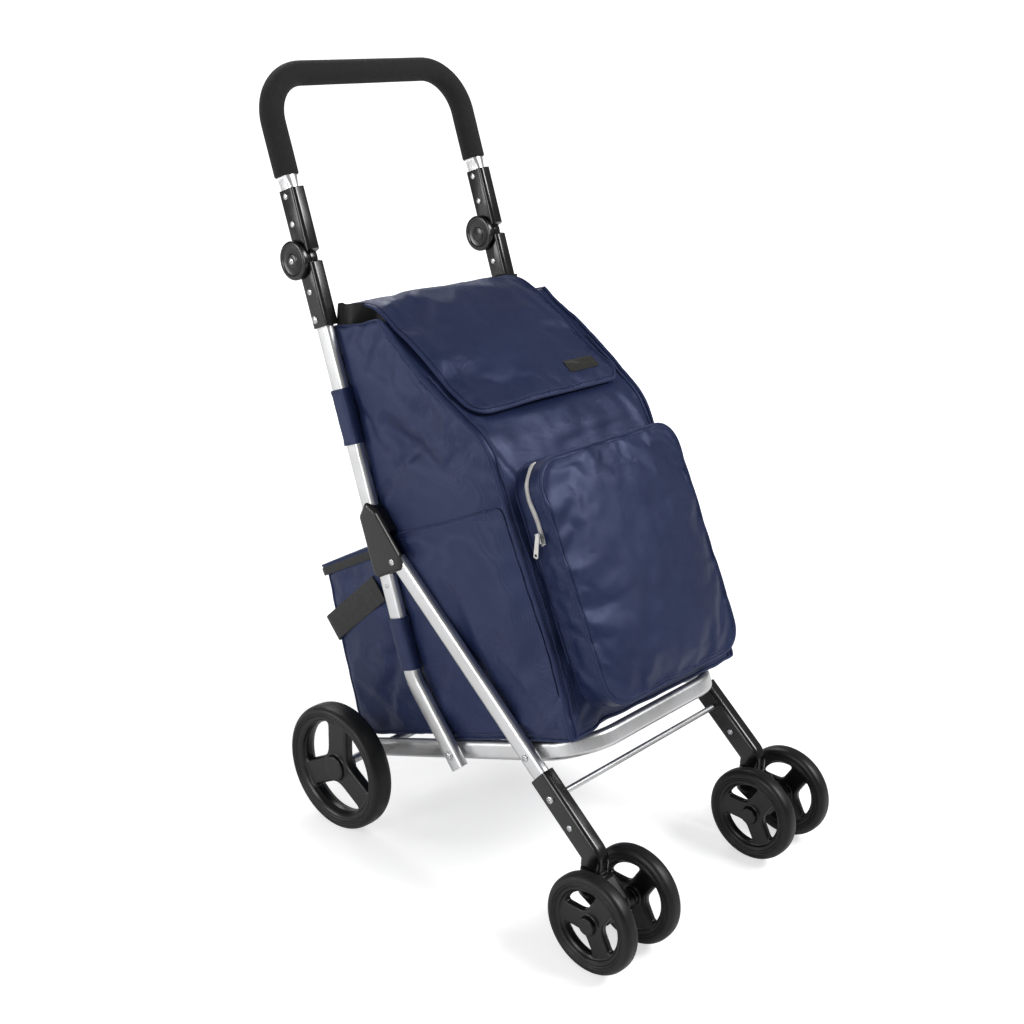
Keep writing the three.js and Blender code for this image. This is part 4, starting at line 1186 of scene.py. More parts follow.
BAG_HALF = 156.5
BAG_FLARE = 13
BAG_FLARE_REACH = 70
BAG_FRONT = [[150, 687], [-42.7, 580.4], [-222, 255]]
BAG_KNEE_R = 70
BAG_REAR_TOP = [225, 668]
BAG_REAR_BOTTOM = [11, 152]
MOUTH_FRONT = [62, 638.3]
CLOTH_STEP = 7.5
SEAM_LINE = 9
MOUTH_BORDER = 3
LID_ROOM = 4
REAR_BULGE = 1.5
SEAM_REACH = 18
SEAM_RISE = {-1: -6.0, 1: 11.0}
EAR_RISE = 8.0
REAR_SPREAD = 6.0


def seam_shift(points):
    """How the seams beside the lid leave the straight slope: lower on the left, crowned on the right."""
    top, knee = np.array(BAG_FRONT[0], float), np.array(BAG_FRONT[1], float)
    run = knee - top
    share = np.clip(((points[:, 1:] - top) @ run) / (run @ run), -0.2, 1.15)
    off = np.abs((points[:, 1:] - top) @ quarter(unit(run)))
    side = np.sign(points[:, 0])
    near_edge = np.clip(1 - (BAG_HALF - np.abs(points[:, 0])) / SEAM_REACH, 0, 1) ** 1.5
    height = np.where(side > 0, SEAM_RISE[1], SEAM_RISE[-1]) * np.sin(np.pi * np.clip(share, 0, 1) ** 0.8)
    height = height + EAR_RISE * np.exp(-(share / 0.07) ** 2)
    lift = height * near_edge * np.exp(-(off / 45) ** 2)
    rear = np.array(BAG_REAR_TOP) - BAG_REAR_BOTTOM
    along = ((points[:, 1:] - BAG_REAR_BOTTOM) @ rear) / (rear @ rear)
    gap = np.abs((points[:, 1:] - BAG_REAR_BOTTOM) @ quarter(unit(rear)))
    spread = REAR_SPREAD * np.clip(along * 3, 0, 1) * np.exp(-(gap / 40) ** 2) * near_edge
    return points + lift[:, None] * at_x(0, -quarter(unit(run))) + (spread * side)[:, None] * X_AXIS


def bag_half(yz):
    gap = np.linalg.norm(np.array(yz)[..., :] - np.array(BAG_FRONT[2]), axis=-1)
    return BAG_HALF + BAG_FLARE * np.exp(-(gap / BAG_FLARE_REACH) ** 2)


def bag_lines():
    """The side view as lines from corner to corner, front first, going round."""
    knee = filleted([MOUTH_FRONT, BAG_FRONT[1], BAG_FRONT[2]], BAG_KNEE_R, 8)
    corners = [knee, [BAG_FRONT[2], BAG_REAR_BOTTOM], [BAG_REAR_BOTTOM, BAG_REAR_TOP],
               [BAG_REAR_TOP, BAG_FRONT[0]], [BAG_FRONT[0], MOUTH_FRONT]]
    return [resampled(line, CLOTH_STEP) for line in corners]


def to_edge(points, line):
    """Distance of each 2-D point from a line."""
    line = np.array(line, float)
    best = np.full(len(points), 1e9)
    for a, b in zip(line[:-1], line[1:]):
        run = b - a
        share = np.clip((points - a) @ run / (run @ run), 0, 1)
        best = np.minimum(best, np.linalg.norm(points - a - share[:, None] * run, axis=1))
    return best


def strip(halves, line, shares):
    """Cloth along a side-view line, with a column of points at each share of its half width."""
    rows = len(line)
    points = [np.stack([halves * u, line[:, 0], line[:, 1]], 1) for u in shares]
    faces = []
    for column in range(len(shares) - 1):
        for k in range(rows - 1):
            low = column * rows + k
            faces.append([low, low + 1, low + rows + 1, low + rows])
    return np.concatenate(points), faces


def bag_solid():
    """Band over the front, bottom and rear, borders beside the mouth, and two side panels."""
    lines = bag_lines()
    band = joined_lines(*lines[:3])
    loop = joined_lines(*lines)[:-1]
    shares = np.linspace(-1, 1, int(2 * BAG_HALF / CLOTH_STEP) + 1)
    solid = strip(bag_half(band), band, shares)
    for line in lines[3:]:
        for border in (shares[:MOUTH_BORDER + 1], shares[-MOUTH_BORDER - 1:]):
            solid = merged(solid, strip(bag_half(line), line, border))
    flat, panel_faces = filled(loop, CLOTH_STEP)
    for sign in SIDES.values():
        panel = np.stack([sign * bag_half(flat), flat[:, 0], flat[:, 1]], 1)
        solid = merged(solid, (panel, panel_faces))
    return welded(solid)


BAG_CREASES = [
    # upper left side panel: pulls from the post loop towards the front edge
    ((-157, 205, 640), (-157, 20, 545), 11, 3.6, (-1, 0, 0)),
    ((-157, 170, 575), (-157, -10, 520), 12, -3.0, (-1, 0, 0)),
    ((-157, 190, 610), (-157, 60, 500), 10, 3.2, (-1, 0, 0)),
    ((-157, 150, 530), (-157, 20, 450), 13, 3.4, (-1, 0, 0)),
    ((-157, 120, 470), (-157, 60, 560), 9, -2.4, (-1, 0, 0)),
    ((-157, 100, 660), (-157, 20, 600), 8, 2.2, (-1, 0, 0)),
    # lower left side panel
    ((-157, -40, 440), (-157, -170, 270), 14, 3.0, (-1, 0, 0)),
    ((-157, 20, 400), (-157, -90, 240), 15, -3.0, (-1, 0, 0)),
    ((-160, -195, 262), (-157, -80, 330), 9, 2.6, (-1, 0, 0)),
    ((-160, -195, 250), (-157, -60, 230), 9, 2.4, (-1, 0, 0)),
    # right side panel
    ((157, 205, 640), (157, 30, 560), 12, 3.4, (1, 0, 0)),
    ((157, 150, 540), (157, 10, 470), 13, 3.2, (1, 0, 0)),
    ((157, -20, 430), (157, -150, 270), 14, 3.2, (1, 0, 0)),
    ((157, 60, 380), (157, -60, 240), 15, -2.8, (1, 0, 0)),
    # front, between the left edge and the pocket, and above the pocket
    ((-150, -40, 575), (-120, -90, 500), 7, 2.4, (0, -0.87, 0.48)),
    ((-152, -95, 485), (-146, -165, 360), 6, 1.8, (0, -0.87, 0.48)),
    ((-165, -215, 265), (-110, -195, 305), 6, 2.4, (0, -0.87, 0.48)),
    ((-160, -200, 300), (-125, -170, 350), 6, 2.0, (0, -0.87, 0.48)),
    ((-120, -20, 592), (90, -26, 588), 9, 2.2, (0, -0.6, 0.8)),
    ((-60, -60, 556), (130, -56, 560), 7, -2.0, (0, -0.87, 0.48)),
    ((120, -30, 585), (152, -80, 500), 8, 2.6, (0, -0.87, 0.48)),
    # rear
    ((-120, 180, 560), (60, 120, 430), 16, 3.0, (0, 0.92, -0.39)),
    ((130, 190, 590), (-30, 130, 440), 16, -3.0, (0, 0.92, -0.39)),
]
CREASE_GAIN = 2.3


def make_bag():
    solid = bag_solid()
    lines = bag_lines()
    band, loop = joined_lines(*lines[:3]), joined_lines(*lines)
    points, faces = solid
    on_side = np.abs(points[:, 0]) > bag_half(points[:, 1:]) - 0.05
    on_seam = on_side & (to_edge(points[:, 1:], loop) < 0.1)
    lip = to_edge(points[:, 1:], [MOUTH_FRONT, np.array(MOUTH_FRONT) + 0.01]) < 0.2
    lip |= (to_edge(points[:, 1:], joined_lines(*lines[3:])) < 0.1) & ~on_side
    rear_lip = to_edge(points[:, 1:], [BAG_REAR_TOP, np.array(BAG_REAR_TOP) + 0.01]) < 0.2
    pinned = on_seam | lip | rear_lip
    folds = [(*fold[:3], fold[3] * CREASE_GAIN, fold[4]) for fold in BAG_CREASES]
    shaped = rumpled(creased(points, folds), 34, 1.6, 1)
    wavy = rumpled(points, 55, 1.6, 2)
    points = seam_shift(np.where(pinned[:, None], wavy, shaped))
    points, faces = settled((points, faces), np.flatnonzero(pinned), 0.012, 0.9, frames=18, cap=9)
    limit = bag_half(points[:, 1:]) + 7
    points[:, 0] = np.clip(points[:, 0], -limit, limit)
    rear = np.interp(points[:, 2], [BAG_REAR_BOTTOM[1], BAG_REAR_TOP[1]], [BAG_REAR_BOTTOM[0], BAG_REAR_TOP[0]])
    points[:, 1] = np.minimum(points[:, 1], rear + REAR_BULGE)
    lid_line = lid_profile()
    under_lid = (np.abs(points[:, 0]) < LID_HALF + 4) & (points[:, 1] > lid_line[-1][0] - 8) & (points[:, 2] > 500)
    ceiling = np.interp(points[:, 1], lid_line[::-1, 0], lid_line[::-1, 1]) - LID_ROOM
    points[:, 2] = np.where(under_lid, np.minimum(points[:, 2], ceiling), points[:, 2])
    solid = finer((points, faces))
    tree = surface_of(solid)
    bag = piece("bag_shell", solid, NAVY, "posts", ["bag_body"], angle=55, closed=False)
    crumples(lined(bag, 1.2, LINING))

    trims, threads = [], []
    edge = joined_lines([BAG_FRONT[0], MOUTH_FRONT], lines[0])
    bottom = lines[1]
    for sign in SIDES.values():
        seam = seam_shift(np.stack([sign * bag_half(edge), edge[:, 0], edge[:, 1]], 1))
        trims.append(piping(tree, seam, 2.5, 1.1))
        start = [k for k in range(len(edge)) if edge[k][0] <= MOUTH_FRONT[0] + 1][0]
        ridge = seam[start:] - np.array([sign * SEAM_LINE, 0, 0])
        trims.append(piping(tree, ridge, 1.7, 0.5))
        threads.append(stitching(tree, ridge - np.array([sign * 2.6, 0, 0])))
        under = np.stack([sign * bag_half(bottom), bottom[:, 0], bottom[:, 1]], 1)
        trims.append(piping(tree, under, 1.8, 0.5))
        rear = lines[2]
        back = seam_shift(np.stack([sign * bag_half(rear), rear[:, 0], rear[:, 1]], 1))
        trims.append(piping(tree, back, 1.6, 0.4))
        top = resampled([BAG_REAR_TOP, BAG_FRONT[0]], 4)
        crown = seam_shift(np.stack([sign * bag_half(top), top[:, 0], top[:, 1]], 1))
        trims.append(piping(tree, crown, 1.5, 0.3))
    corner = BAG_FRONT[2]
    half = float(bag_half(np.array([corner]))[0])
    trims.append(piping(tree, [[-half, *corner], [half, *corner]], 2.1, 0.7))
    hem = np.array(corner) + unit(np.array(BAG_FRONT[1]) - corner) * 9
    threads.append(stitching(tree, [[-half + 8, *hem], [half - 8, *hem]]))
    heel = BAG_REAR_BOTTOM
    trims.append(piping(tree, [[-BAG_HALF, *heel], [BAG_HALF, *heel]], 1.6, 0.4))
    for x in (-151, -146):
        threads.append(stitching(tree, [[x + 3, -100, 470], [x + 1, -214, 268]], 3.4, 2.2))
    crumples(piece("bag_piping", merged(*trims), NAVY_TRIM, "posts", angle=60))
    crumples(piece("bag_stitching", merged(*threads), THREAD, "posts", angle=60))
    return tree


SIDE_POCKET = [[89.7, 424], [14, 461], [-57, 499], [-76, 509], [-212, 260], [12, 159], [112, 400]]


def make_side_pockets(tree):
    """A flat panel sewn on each side, its top hem open."""
    outline = rounded_outline(SIDE_POCKET, 6, 4)
    outline = resampled(np.concatenate([outline, outline[:1]]), 7)[:-1]
    flat, faces = filled(outline, 7)
    inside = to_edge(flat, np.concatenate([outline, outline[:1]]))
    for name, sign in SIDES.items():
        points = np.zeros((len(flat), 3))
        for k, (y, z) in enumerate(flat):
            place, _, _, _ = tree.find_nearest(Vector((sign * BAG_HALF, y, z)))
            bulge = 1.1 * min(inside[k] / 30, 1)
            fold = 0.9 * noise.noise(Vector((y * 0.018 + sign, z * 0.03, 4.0)))
            points[k] = (place[0] + sign * (0.9 + bulge + fold * min(inside[k] / 14, 1)), y, z)
        solid = finer((points, [face[::sign] for face in faces]))
        panel = piece(f"side_pocket_panel_{name}", solid, NAVY, "posts",
                      [f"side_pocket_{name}"], angle=60, closed=False)
        crumples(panel)
        cover = surface_of(solid)
        hem = np.stack([np.full(3, sign * 158.0), [89.7, 14, -57], [424, 461, 499]], 1)
        inner_hem = hem - np.array([0, 4.0, 8.0])
        ring = [[sign * 158.0, y, z] for y, z in SIDE_POCKET[2:] + SIDE_POCKET[:1]]
        trims = merged(piping(cover, hem, 1.3, 0.3), piping(cover, ring, 0.8, 0.1))
        crumples(piece(f"side_pocket_hem_{name}", trims, NAVY_TRIM, "posts", angle=60))
        crumples(piece(f"side_pocket_stitching_{name}", stitching(cover, inner_hem), THREAD, "posts",
                       angle=60))


# ---------------------------------------------------------------- collar and lid

LID_HALF = 142
LID_CORNER_R = 26
LID_LINE = [[227.5, 687.7], [186.6, 712.9], [-14, 602]]
LID_CREST_R = 80


def lid_profile():
    return filleted(LID_LINE, LID_CREST_R, 12)


def on_profile(profile, length):
    """Point and outward direction at a length along a side-view line."""
    steps = np.linalg.norm(np.diff(profile, axis=0), axis=1)
    lengths = np.concatenate([[0], np.cumsum(steps)])
    length = np.clip(length, 0, lengths[-1])
    k = min(int(np.searchsorted(lengths, length, side="right")) - 1, len(steps) - 1)
    ahead = unit(profile[k + 1] - profile[k])
    return profile[k] + ahead * (length - lengths[k]), -quarter(ahead)


COLLAR_OUTLINE = [[-131, 68], [131, 68], [131, 180], [160, 198], [160, 231], [-160, 231], [-160, 198],
                  [-131, 180]]
COLLAR_DEPTH = 58
COLLAR_WING_RISE = 9


def make_collar():
    """Gathered black cloth that stands up out of the mouth under the lid, out to the posts at the rear."""
    outline = rounded_outline(COLLAR_OUTLINE, 7, 5)
    outline = resampled(np.concatenate([outline, outline[:1]]), 3.5)[:-1]
    middle_y = (COLLAR_OUTLINE[0][1] + COLLAR_OUTLINE[4][1]) / 2
    profile = lid_profile()
    rows = 12
    count = len(outline)
    points, faces = [], []
    for row in range(rows):
        share = row / (rows - 1)
        for k, (x, y) in enumerate(outline):
            wing = np.clip((abs(x) - 138) / 8, 0, 1)
            below = 6 - 5 * np.clip((y - 210) / 12, 0, 1)
            top = np.interp(y, profile[::-1, 0], profile[::-1, 1]) - below + COLLAR_WING_RISE * wing
            gather = math.sin(k * 2 * math.pi / 3.4 + 1.7 * math.sin(k * 0.31))
            depth = (0.5 + 1.6 * share) * gather + 1.5 * noise.noise(Vector((k * 0.2, share * 2, 1.0)))
            inward = unit([-x, (middle_y - y) * 2.2])
            pull = 1.5 + 2 * share * share + abs(depth)
            z = top - COLLAR_DEPTH * (1 - share)
            rear = np.interp(z, [BAG_REAR_BOTTOM[1], BAG_REAR_TOP[1]], [BAG_REAR_BOTTOM[0], BAG_REAR_TOP[0]])
            rear += 2 * share - 5 * (1 - share)
            points.append([x + inward[0] * pull, min(y + inward[1] * pull, rear), z])
        if row:
            for k in range(count):
                j = (k + 1) % count
                a, b = (row - 1) * count, row * count
                faces.append([a + k, a + j, b + j, b + k])
    solid = finer((np.array(points), faces))
    collar = piece("mouth_collar", solid, LINING, "posts", ["bag_collar"], angle=60, closed=False)
    crumples(collar)


def make_lid():
    profile = lid_profile()
    length = float(np.linalg.norm(np.diff(profile, axis=0), axis=1).sum())
    r, half = LID_CORNER_R, LID_HALF
    corners = [[-half, 0], [-half, length], [half, length], [half, 0]]
    front = filleted(corners, r, 8)
    outline = resampled(np.concatenate([front, front[:1]]), 6)[:-1]
    flat, faces = filled(outline, 6.5)

    def placed(u, s, lift):
        at, out = on_profile(profile, s)
        return np.array([u, *(at + out * lift)])

    def sag(u, s):
        """How far the cloth stands off its own line: soft waves across, drooping at the free edges."""
        edge = max(abs(u) / half, 0)
        wave = 1.5 * math.sin(s * 0.055 + 0.9 * math.sin(u * 0.018)) * min(s / 80, 1)
        wave += 1.3 * noise.noise(Vector((u * 0.014, s * 0.035, 2.0)))
        droop = -1.4 * max(edge - 0.8, 0) / 0.2
        crown = 2.2 * (1 - edge * edge)
        return 1.0 + crown + wave + droop

    points = np.array([placed(u, s, sag(u, s)) for u, s in flat])
    faces = [face[::-1] for face in faces]
    rim = to_edge(flat, np.concatenate([outline, outline[:1]])) < 0.1
    points, faces = settled((points, faces), np.flatnonzero(rim), 0.009, 0.25, frames=16, cap=5)
    solid = finer((points, faces))
    tree = surface_of(solid)
    lid = piece("lid_sheet", solid, NAVY, "lid", ["lid_flap"], angle=60, closed=False)
    lined(lid, 1.4, LINING)
    crumples(lid)
    side = front
    rim_line = [placed(u, s, sag(u, s)) for u, s in resampled(side, 5)]
    inset = filleted([[-half + 6.5, 4], [-half + 6.5, length - 6.5], [half - 6.5, length - 6.5], [half - 6.5, 4]], r - 6, 8)
    hem_line = [placed(u, s, sag(u, s)) for u, s in resampled(inset, 5)]
    trims = merged(piping(tree, rim_line, 1.9, 0.2), piping(tree, hem_line, 0.8, 0.15))
    crumples(piece("lid_binding", trims, NAVY_TRIM, "lid", angle=60))
    inner = [placed(u * 0.982, min(s, length - 9), sag(u, s)) for u, s in resampled(inset, 5)]
    crumples(piece("lid_stitching", stitching(tree, inner), THREAD, "lid", angle=60))
    make_label(tree, length, placed, sag)


def make_label(tree, length, placed, sag):
    """A blank rubber patch with a raised rim."""
    low, high = box_mm("lid_label")
    low_s, high_s = length - 45, length - 25
    u_low, u_high = low[0], high[0]
    outline = rounded_outline([[u_low, low_s], [u_high, low_s], [u_high, high_s], [u_low, high_s]], 3.5, 6)
    rings = [(0, 0.1), (0, 1.0), (0.5, 1.5), (1.6, 1.5), (2.2, 1.0)]
    flat, faces, heights = terraced(outline, rings, 5)
    points = []
    for (u, s), lift in zip(flat, heights):
        place, normal, _, _ = tree.find_nearest(Vector(placed(u, s, sag(u, s))))
        points.append(np.array(place) + np.array(normal) * lift)
    label = piece("label_blank", (np.array(points), faces), PATCH, "lid", ["lid_label"], angle=40)
    crumples(label)


def inset_loop(outline, distance):
    """A closed outline drawn inwards."""
    outline = np.array(outline, float)
    before, after = np.roll(outline, 1, 0), np.roll(outline, -1, 0)
    run = after - before
    run /= np.linalg.norm(run, axis=1)[:, None]
    u, v = outline.T
    turn = np.sum(u * np.roll(v, -1) - np.roll(u, -1) * v)
    inward = np.stack([-run[:, 1], run[:, 0]], 1) * math.copysign(1, turn)
    return outline + inward * distance


def terraced(outline, rings, spacing, floor=True):
    """Loops at (inset, height) joined by walls, the last one filled in: flat points, faces, heights."""
    loops = [inset_loop(outline, inset) for inset, _ in rings]
    size = len(outline)
    flat, heights, faces = [], [], []
    for loop, (_, height) in zip(loops, rings):
        flat.append(loop)
        heights += [height] * size
    for k in range(len(rings) - 1):
        for i in range(size):
            j = (i + 1) % size
            faces.append([k * size + i, k * size + j, (k + 1) * size + j, (k + 1) * size + i])
    top, top_faces = filled(loops[-1], spacing)
    shift = size * len(rings)
    flat.append(top)
    heights += [rings[-1][1]] * len(top)
    faces += [[i + shift for i in face] for face in top_faces]
    if floor:
        faces.append(list(range(size))[::-1])
    return np.concatenate(flat), faces, np.array(heights, float)


# ---------------------------------------------------------------- front pocket and zip

POCKET_HALF = 138
POCKET_LENGTH = 312
POCKET_TOP = np.array([-66.0, 549.0])
POCKET_BOTTOM = np.array([-216.0, 272.0])
POCKET_DOWN = unit(POCKET_BOTTOM - POCKET_TOP)
POCKET_OUT = -quarter(POCKET_DOWN)
POCKET_CORNER_R = 36
POCKET_FACE = 42
ZIP_HEIGHT = 20
ZIP_LENGTH = 98
ZIP_TURN = math.radians(76)
SLIDER_DOWN = 89


def on_pocket(u, v, height):
    """u across, v up the face from its top edge, height off the bag."""
    return np.array([u, *(POCKET_TOP - POCKET_DOWN * v + POCKET_OUT * height)])


def make_pocket():
    r, half = POCKET_CORNER_R, POCKET_HALF - 1
    corners = [[-half, -POCKET_LENGTH + 1], [half, -POCKET_LENGTH + 1], [half, -1], [-half, -1]]
    outline = rounded_outline(corners, r, 9)
    outline = resampled(np.concatenate([outline, outline[:1]]), 6)[:-1]
    rings = [(-1.5, 1), (-0.6, 6), (0.6, 12), (1.0, 18), (0.6, 24), (0.6, 30), (0.2, 36), (0, POCKET_FACE - 1),
             (1.4, POCKET_FACE + 0.6), (4.5, POCKET_FACE + 1.4)]
    flat, faces, heights = terraced(outline, rings, 6.5, floor=False)
    size = len(outline)
    wall = size * 8
    flat_u = flat[:, 0] / half
    flat_v = (flat[:, 1] + POCKET_LENGTH / 2) / (POCKET_LENGTH / 2)
    dome = 9.5 * (1 - flat_u ** 2) * (1 - flat_v ** 4) * (1 - 0.25 * flat_v)
    heights = heights + np.where(np.arange(len(flat)) >= wall, np.clip(dome, 0, None), 0)
    points = np.array([on_pocket(u, v, h) for (u, v), h in zip(flat, heights)])
    number = np.arange(len(points))
    seam = (number // size == 7) & (number < size * 10)
    pinned_flags = (number < size) | seam
    pinned_places = points[pinned_flags]
    loose = rumpled(points, 26, 1.1, 5)
    points = np.where(pinned_flags[:, None], rumpled(points, 60, 1.0, 6), loose)
    points = creased(points, [
        (on_pocket(-137, -250, 8), on_pocket(-137, -300, 34), 6, 2.6, (-1, 0, 0)),
        (on_pocket(-120, -309, 8), on_pocket(-100, -311, 34), 6, 2.4, (0, -0.48, -0.87)),
        (on_pocket(-137, -200, 5), on_pocket(-137, -215, 36), 7, -2.2, (-1, 0, 0)),
        (on_pocket(-90, -30, 44), on_pocket(60, -75, 50), 16, 1.6, (0, *POCKET_OUT)),
        (on_pocket(-100, -250, 46), on_pocket(40, -285, 48), 16, 1.5, (0, *POCKET_OUT)),
    ])
    joined = welded((points, faces))
    held_tree = KDTree(int(pinned_flags.sum()))
    for k, p in enumerate(points[pinned_flags]):
        held_tree.insert(Vector(p), k)
    held_tree.balance()
    held = [i for i, p in enumerate(joined[0]) if held_tree.find(Vector(p))[2] < 0.05]
    solid = finer(settled(joined, held, 0.014, 0.5, frames=18, cap=7))
    tree = surface_of(solid)
    pocket = piece("front_pocket_shell", solid, NAVY, "posts", ["front_pocket"], angle=60,
                   closed=False)
    crumples(lined(pocket, 1.2, LINING))

    def ring(inset, height):
        loop = inset_loop(outline, inset)
        return [on_pocket(u, v, height) for u, v in np.concatenate([loop, loop[:1]])]

    trims = merged(piping(tree, ring(0, POCKET_FACE), 1.9, 0.6), piping(tree, ring(4.6, POCKET_FACE + 3), 0.7, 0.12),
                   piping(tree, ring(-1.5, 1), 1.5, 0.3))
    crumples(piece("front_pocket_piping", trims, NAVY_TRIM, "posts", angle=60))
    threads = merged(stitching(tree, ring(7.2, POCKET_FACE + 3)), stitching(tree, ring(-0.4, 6)),
                     stitching(tree, ring(0.4, POCKET_FACE - 5)))
    crumples(piece("front_pocket_stitching", threads, THREAD, "posts", angle=60))
    make_zip(tree)


def make_zip(tree):
    """Tape, two rows of teeth, the slider and its puller, on the pocket's left wall."""
    r = POCKET_CORNER_R
    centre = (-POCKET_HALF + r, -r)
    line = [on_pocket(-POCKET_HALF - 1, -ZIP_LENGTH, ZIP_HEIGHT)]
    for k in range(13):
        angle = ZIP_TURN * k / 12
        line.append(on_pocket(centre[0] - r * math.cos(angle), centre[1] + r * math.sin(angle), ZIP_HEIGHT))
    points, normals = laid_on(tree, line, 0.5, 2.1, 3)
    strip = rounded_section(0.45, 4.6, 0.4, steps=2)
    tape = sweep(strip, points, normals[0])
    crumples(piece("zip_tape", tape, NAVY_TRIM, "posts", angle=40))
    spots, faces = [], []
    for k in range(len(points) - 1):
        along = unit(points[k + 1] - points[k])
        up = unit(normals[k] - along * (normals[k] @ along))
        across = np.cross(along, up)
        for row in (-1, 1):
            middle = points[k] + up * 0.95 + across * row * 1.5 + along * row * 0.5
            corners = []
            for rise, grow in ((-0.5, 1.0), (0.35, 1.0), (0.75, 0.6)):
                for a, b in ((-1, -1), (1, -1), (1, 1), (-1, 1)):
                    corners.append(middle + up * rise + along * a * 0.62 * grow + across * b * 1.9 * grow)
            base = len(spots)
            spots += corners
            for level in (0, 4):
                for i in range(4):
                    j = (i + 1) % 4
                    faces.append([base + level + i, base + level + j, base + level + 4 + j, base + level + 4 + i])
            faces += [[base + i for i in (3, 2, 1, 0)], [base + i for i in (8, 9, 10, 11)]]
    crumples(piece("zip_teeth", (np.array(spots), faces), ZIP, "posts", ["zip_chain"], angle=30))

    low, high = box_mm("zip_slider")
    middle = (low + high) / 2
    up = at_x(0, -POCKET_DOWN)
    body_path = [middle + up * s for s in (-6.4, -5.8, -2, 2.5, 5.8, 6.4)]
    widths = [2.6, 3.2, 3.6, 4.3, 4.0, 3.2]
    sections = [rounded_section(1.35, w, 0.9, steps=4) for w in widths]
    shuttle = sweep(sections, body_path, X_AXIS)
    bridge_path = filleted([middle + up * -4 + np.array([-1, 0, 0]), middle + up * -3.6 + np.array([-2.9, 0, 0]),
                            middle + up * 3.6 + np.array([-2.9, 0, 0]), middle + up * 4 + np.array([-1, 0, 0])], 0.9, 4)
    bridge = sweep(rounded_section(1.1, 0.35, 0.3, steps=3), bridge_path, np.cross(up, X_AXIS))
    crumples(piece("zip_slider_body", merged(shuttle, bridge), STEEL, "zip_slider", ["zip_slider"],
                   angle=40))

    low, high = box_mm("zip_pull")
    middle_y = (low[1] + high[1]) / 2
    wide = (high[1] - low[1]) / 2
    tall = (low[2], high[2])
    outline = rounded_outline([[middle_y - wide, tall[0]], [middle_y + wide, tall[0]],
                               [middle_y + wide * 0.72, tall[1]], [middle_y - wide * 0.72, tall[1]]], 2.4, 6)
    hole = [[middle_y + 1.9 * math.cos(a), tall[0] + 4 + 1.9 * math.sin(a)] for a in -np.linspace(0, 6.283, 25)[:-1]]
    x = (low[0] + high[0]) / 2
    puller = plate([outline, hole], 0.75, 0.35, x - 0.2, steps=3)
    crumples(piece("zip_puller", puller, ZIP, "zip_pull", ["zip_pull"], angle=40))


# ---------------------------------------------------------------- post loops


def make_loops():
    """Sewn cloth sleeves round the posts, each with a hem at both ends."""
    for level in ("upper", "lower"):
        for name, sign in SIDES.items():
            low, high = box_mm(f"post_loop_{level}_{name}")
            x = sign * TUBE_X
            rise = TUBE_HALF[1] * POST_UP[0] + 1
            start, end = on_post(low[2] + rise), on_post(high[2] - rise)
            path = resampled(side_path(x, [start, end]), 2.5)
            outer, inner_play = [], 0.8
            for k in range(len(path)):
                share = k / (len(path) - 1)
                near_end = min(share, 1 - share) * len(path)
                hem = 0.5 if near_end < 3 else 0.0
                rings = rounded_section(TUBE_HALF[0] + 1.9 + hem, TUBE_HALF[1] + 2.0 + hem, TUBE_CORNER_R + 1.6, steps=7)
                angles = np.arctan2(rings[:, 1], rings[:, 0])
                waves = [0.55 * noise.noise(Vector((math.cos(a) * 1.6, math.sin(a) * 1.6, share * 4 + sign))) for a in angles]
                outer.append(rings * (1 + np.array(waves)[:, None] * 0.055))
            bore = rounded_section(TUBE_HALF[0] + inner_play, TUBE_HALF[1] + inner_play, TUBE_CORNER_R + inner_play, steps=7)
            solid = sweep(outer, path, X_AXIS, inner=bore)
            loop = piece(f"post_sleeve_{level}_{name}", solid, NAVY, "posts",
                         [f"post_loop_{level}_{name}"], angle=60)
            tree = surface_of(solid)
            rows = []
            for place in (start + POST_UP * 5, end - POST_UP * 5):
                ring = rounded_section(TUBE_HALF[0] + 3, TUBE_HALF[1] + 3, TUBE_CORNER_R + 2, steps=6)
                b_axis = np.cross(at_x(0, POST_UP), X_AXIS)
                ring_line = [at_x(x, place) + np.array([a, 0, 0]) + b_axis * b for a, b in ring]
                rows.append(stitching(tree, ring_line, 3.2, 2.0, 0.35))
            thread = piece(f"post_sleeve_stitching_{level}_{name}", merged(*rows), THREAD, "posts",
                           angle=60)
            if level == "upper":
                for thing in (loop, thread):
                    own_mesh(thing)


# ---------------------------------------------------------------- cooler bag

COOLER_HALF = 147
COOLER_SIDE = [[118, 390], [246, 312], [211, 206], [166, 90], [16, 155]]
COOLER_LID_LINE = np.array([[122.5, 401.0], [266.0, 313.0]])
COOLER_LID_THICK = 9
ZIP_BAND_HALF = 5.5
STRAP_LINE = [[138, 326], [236, 226]]
STRAP_X = 152
STRAP_HALF_WIDTH = 18
STRAP_CORNER_R = 16

COOLER_CREASES = [
    ((-147, 150, 360), (-147, 190, 130), 14, 3.4, (-1, 0, 0)),
    ((-147, 90, 340), (-147, 120, 140), 14, -3.2, (-1, 0, 0)),
    ((-147, 210, 300), (-147, 140, 240), 11, 2.8, (-1, 0, 0)),
    ((147, 150, 360), (147, 190, 130), 14, 3.4, (1, 0, 0)),
    ((147, 90, 340), (147, 130, 140), 14, -3.0, (1, 0, 0)),
    ((-90, 235, 290), (40, 190, 150), 16, 3.4, (0, 0.93, -0.3)),
    ((100, 240, 300), (-20, 180, 130), 16, -3.2, (0, 0.93, -0.3)),
    ((-130, 180, 130), (110, 176, 122), 14, 3.0, (0, 0.93, -0.3)),
]


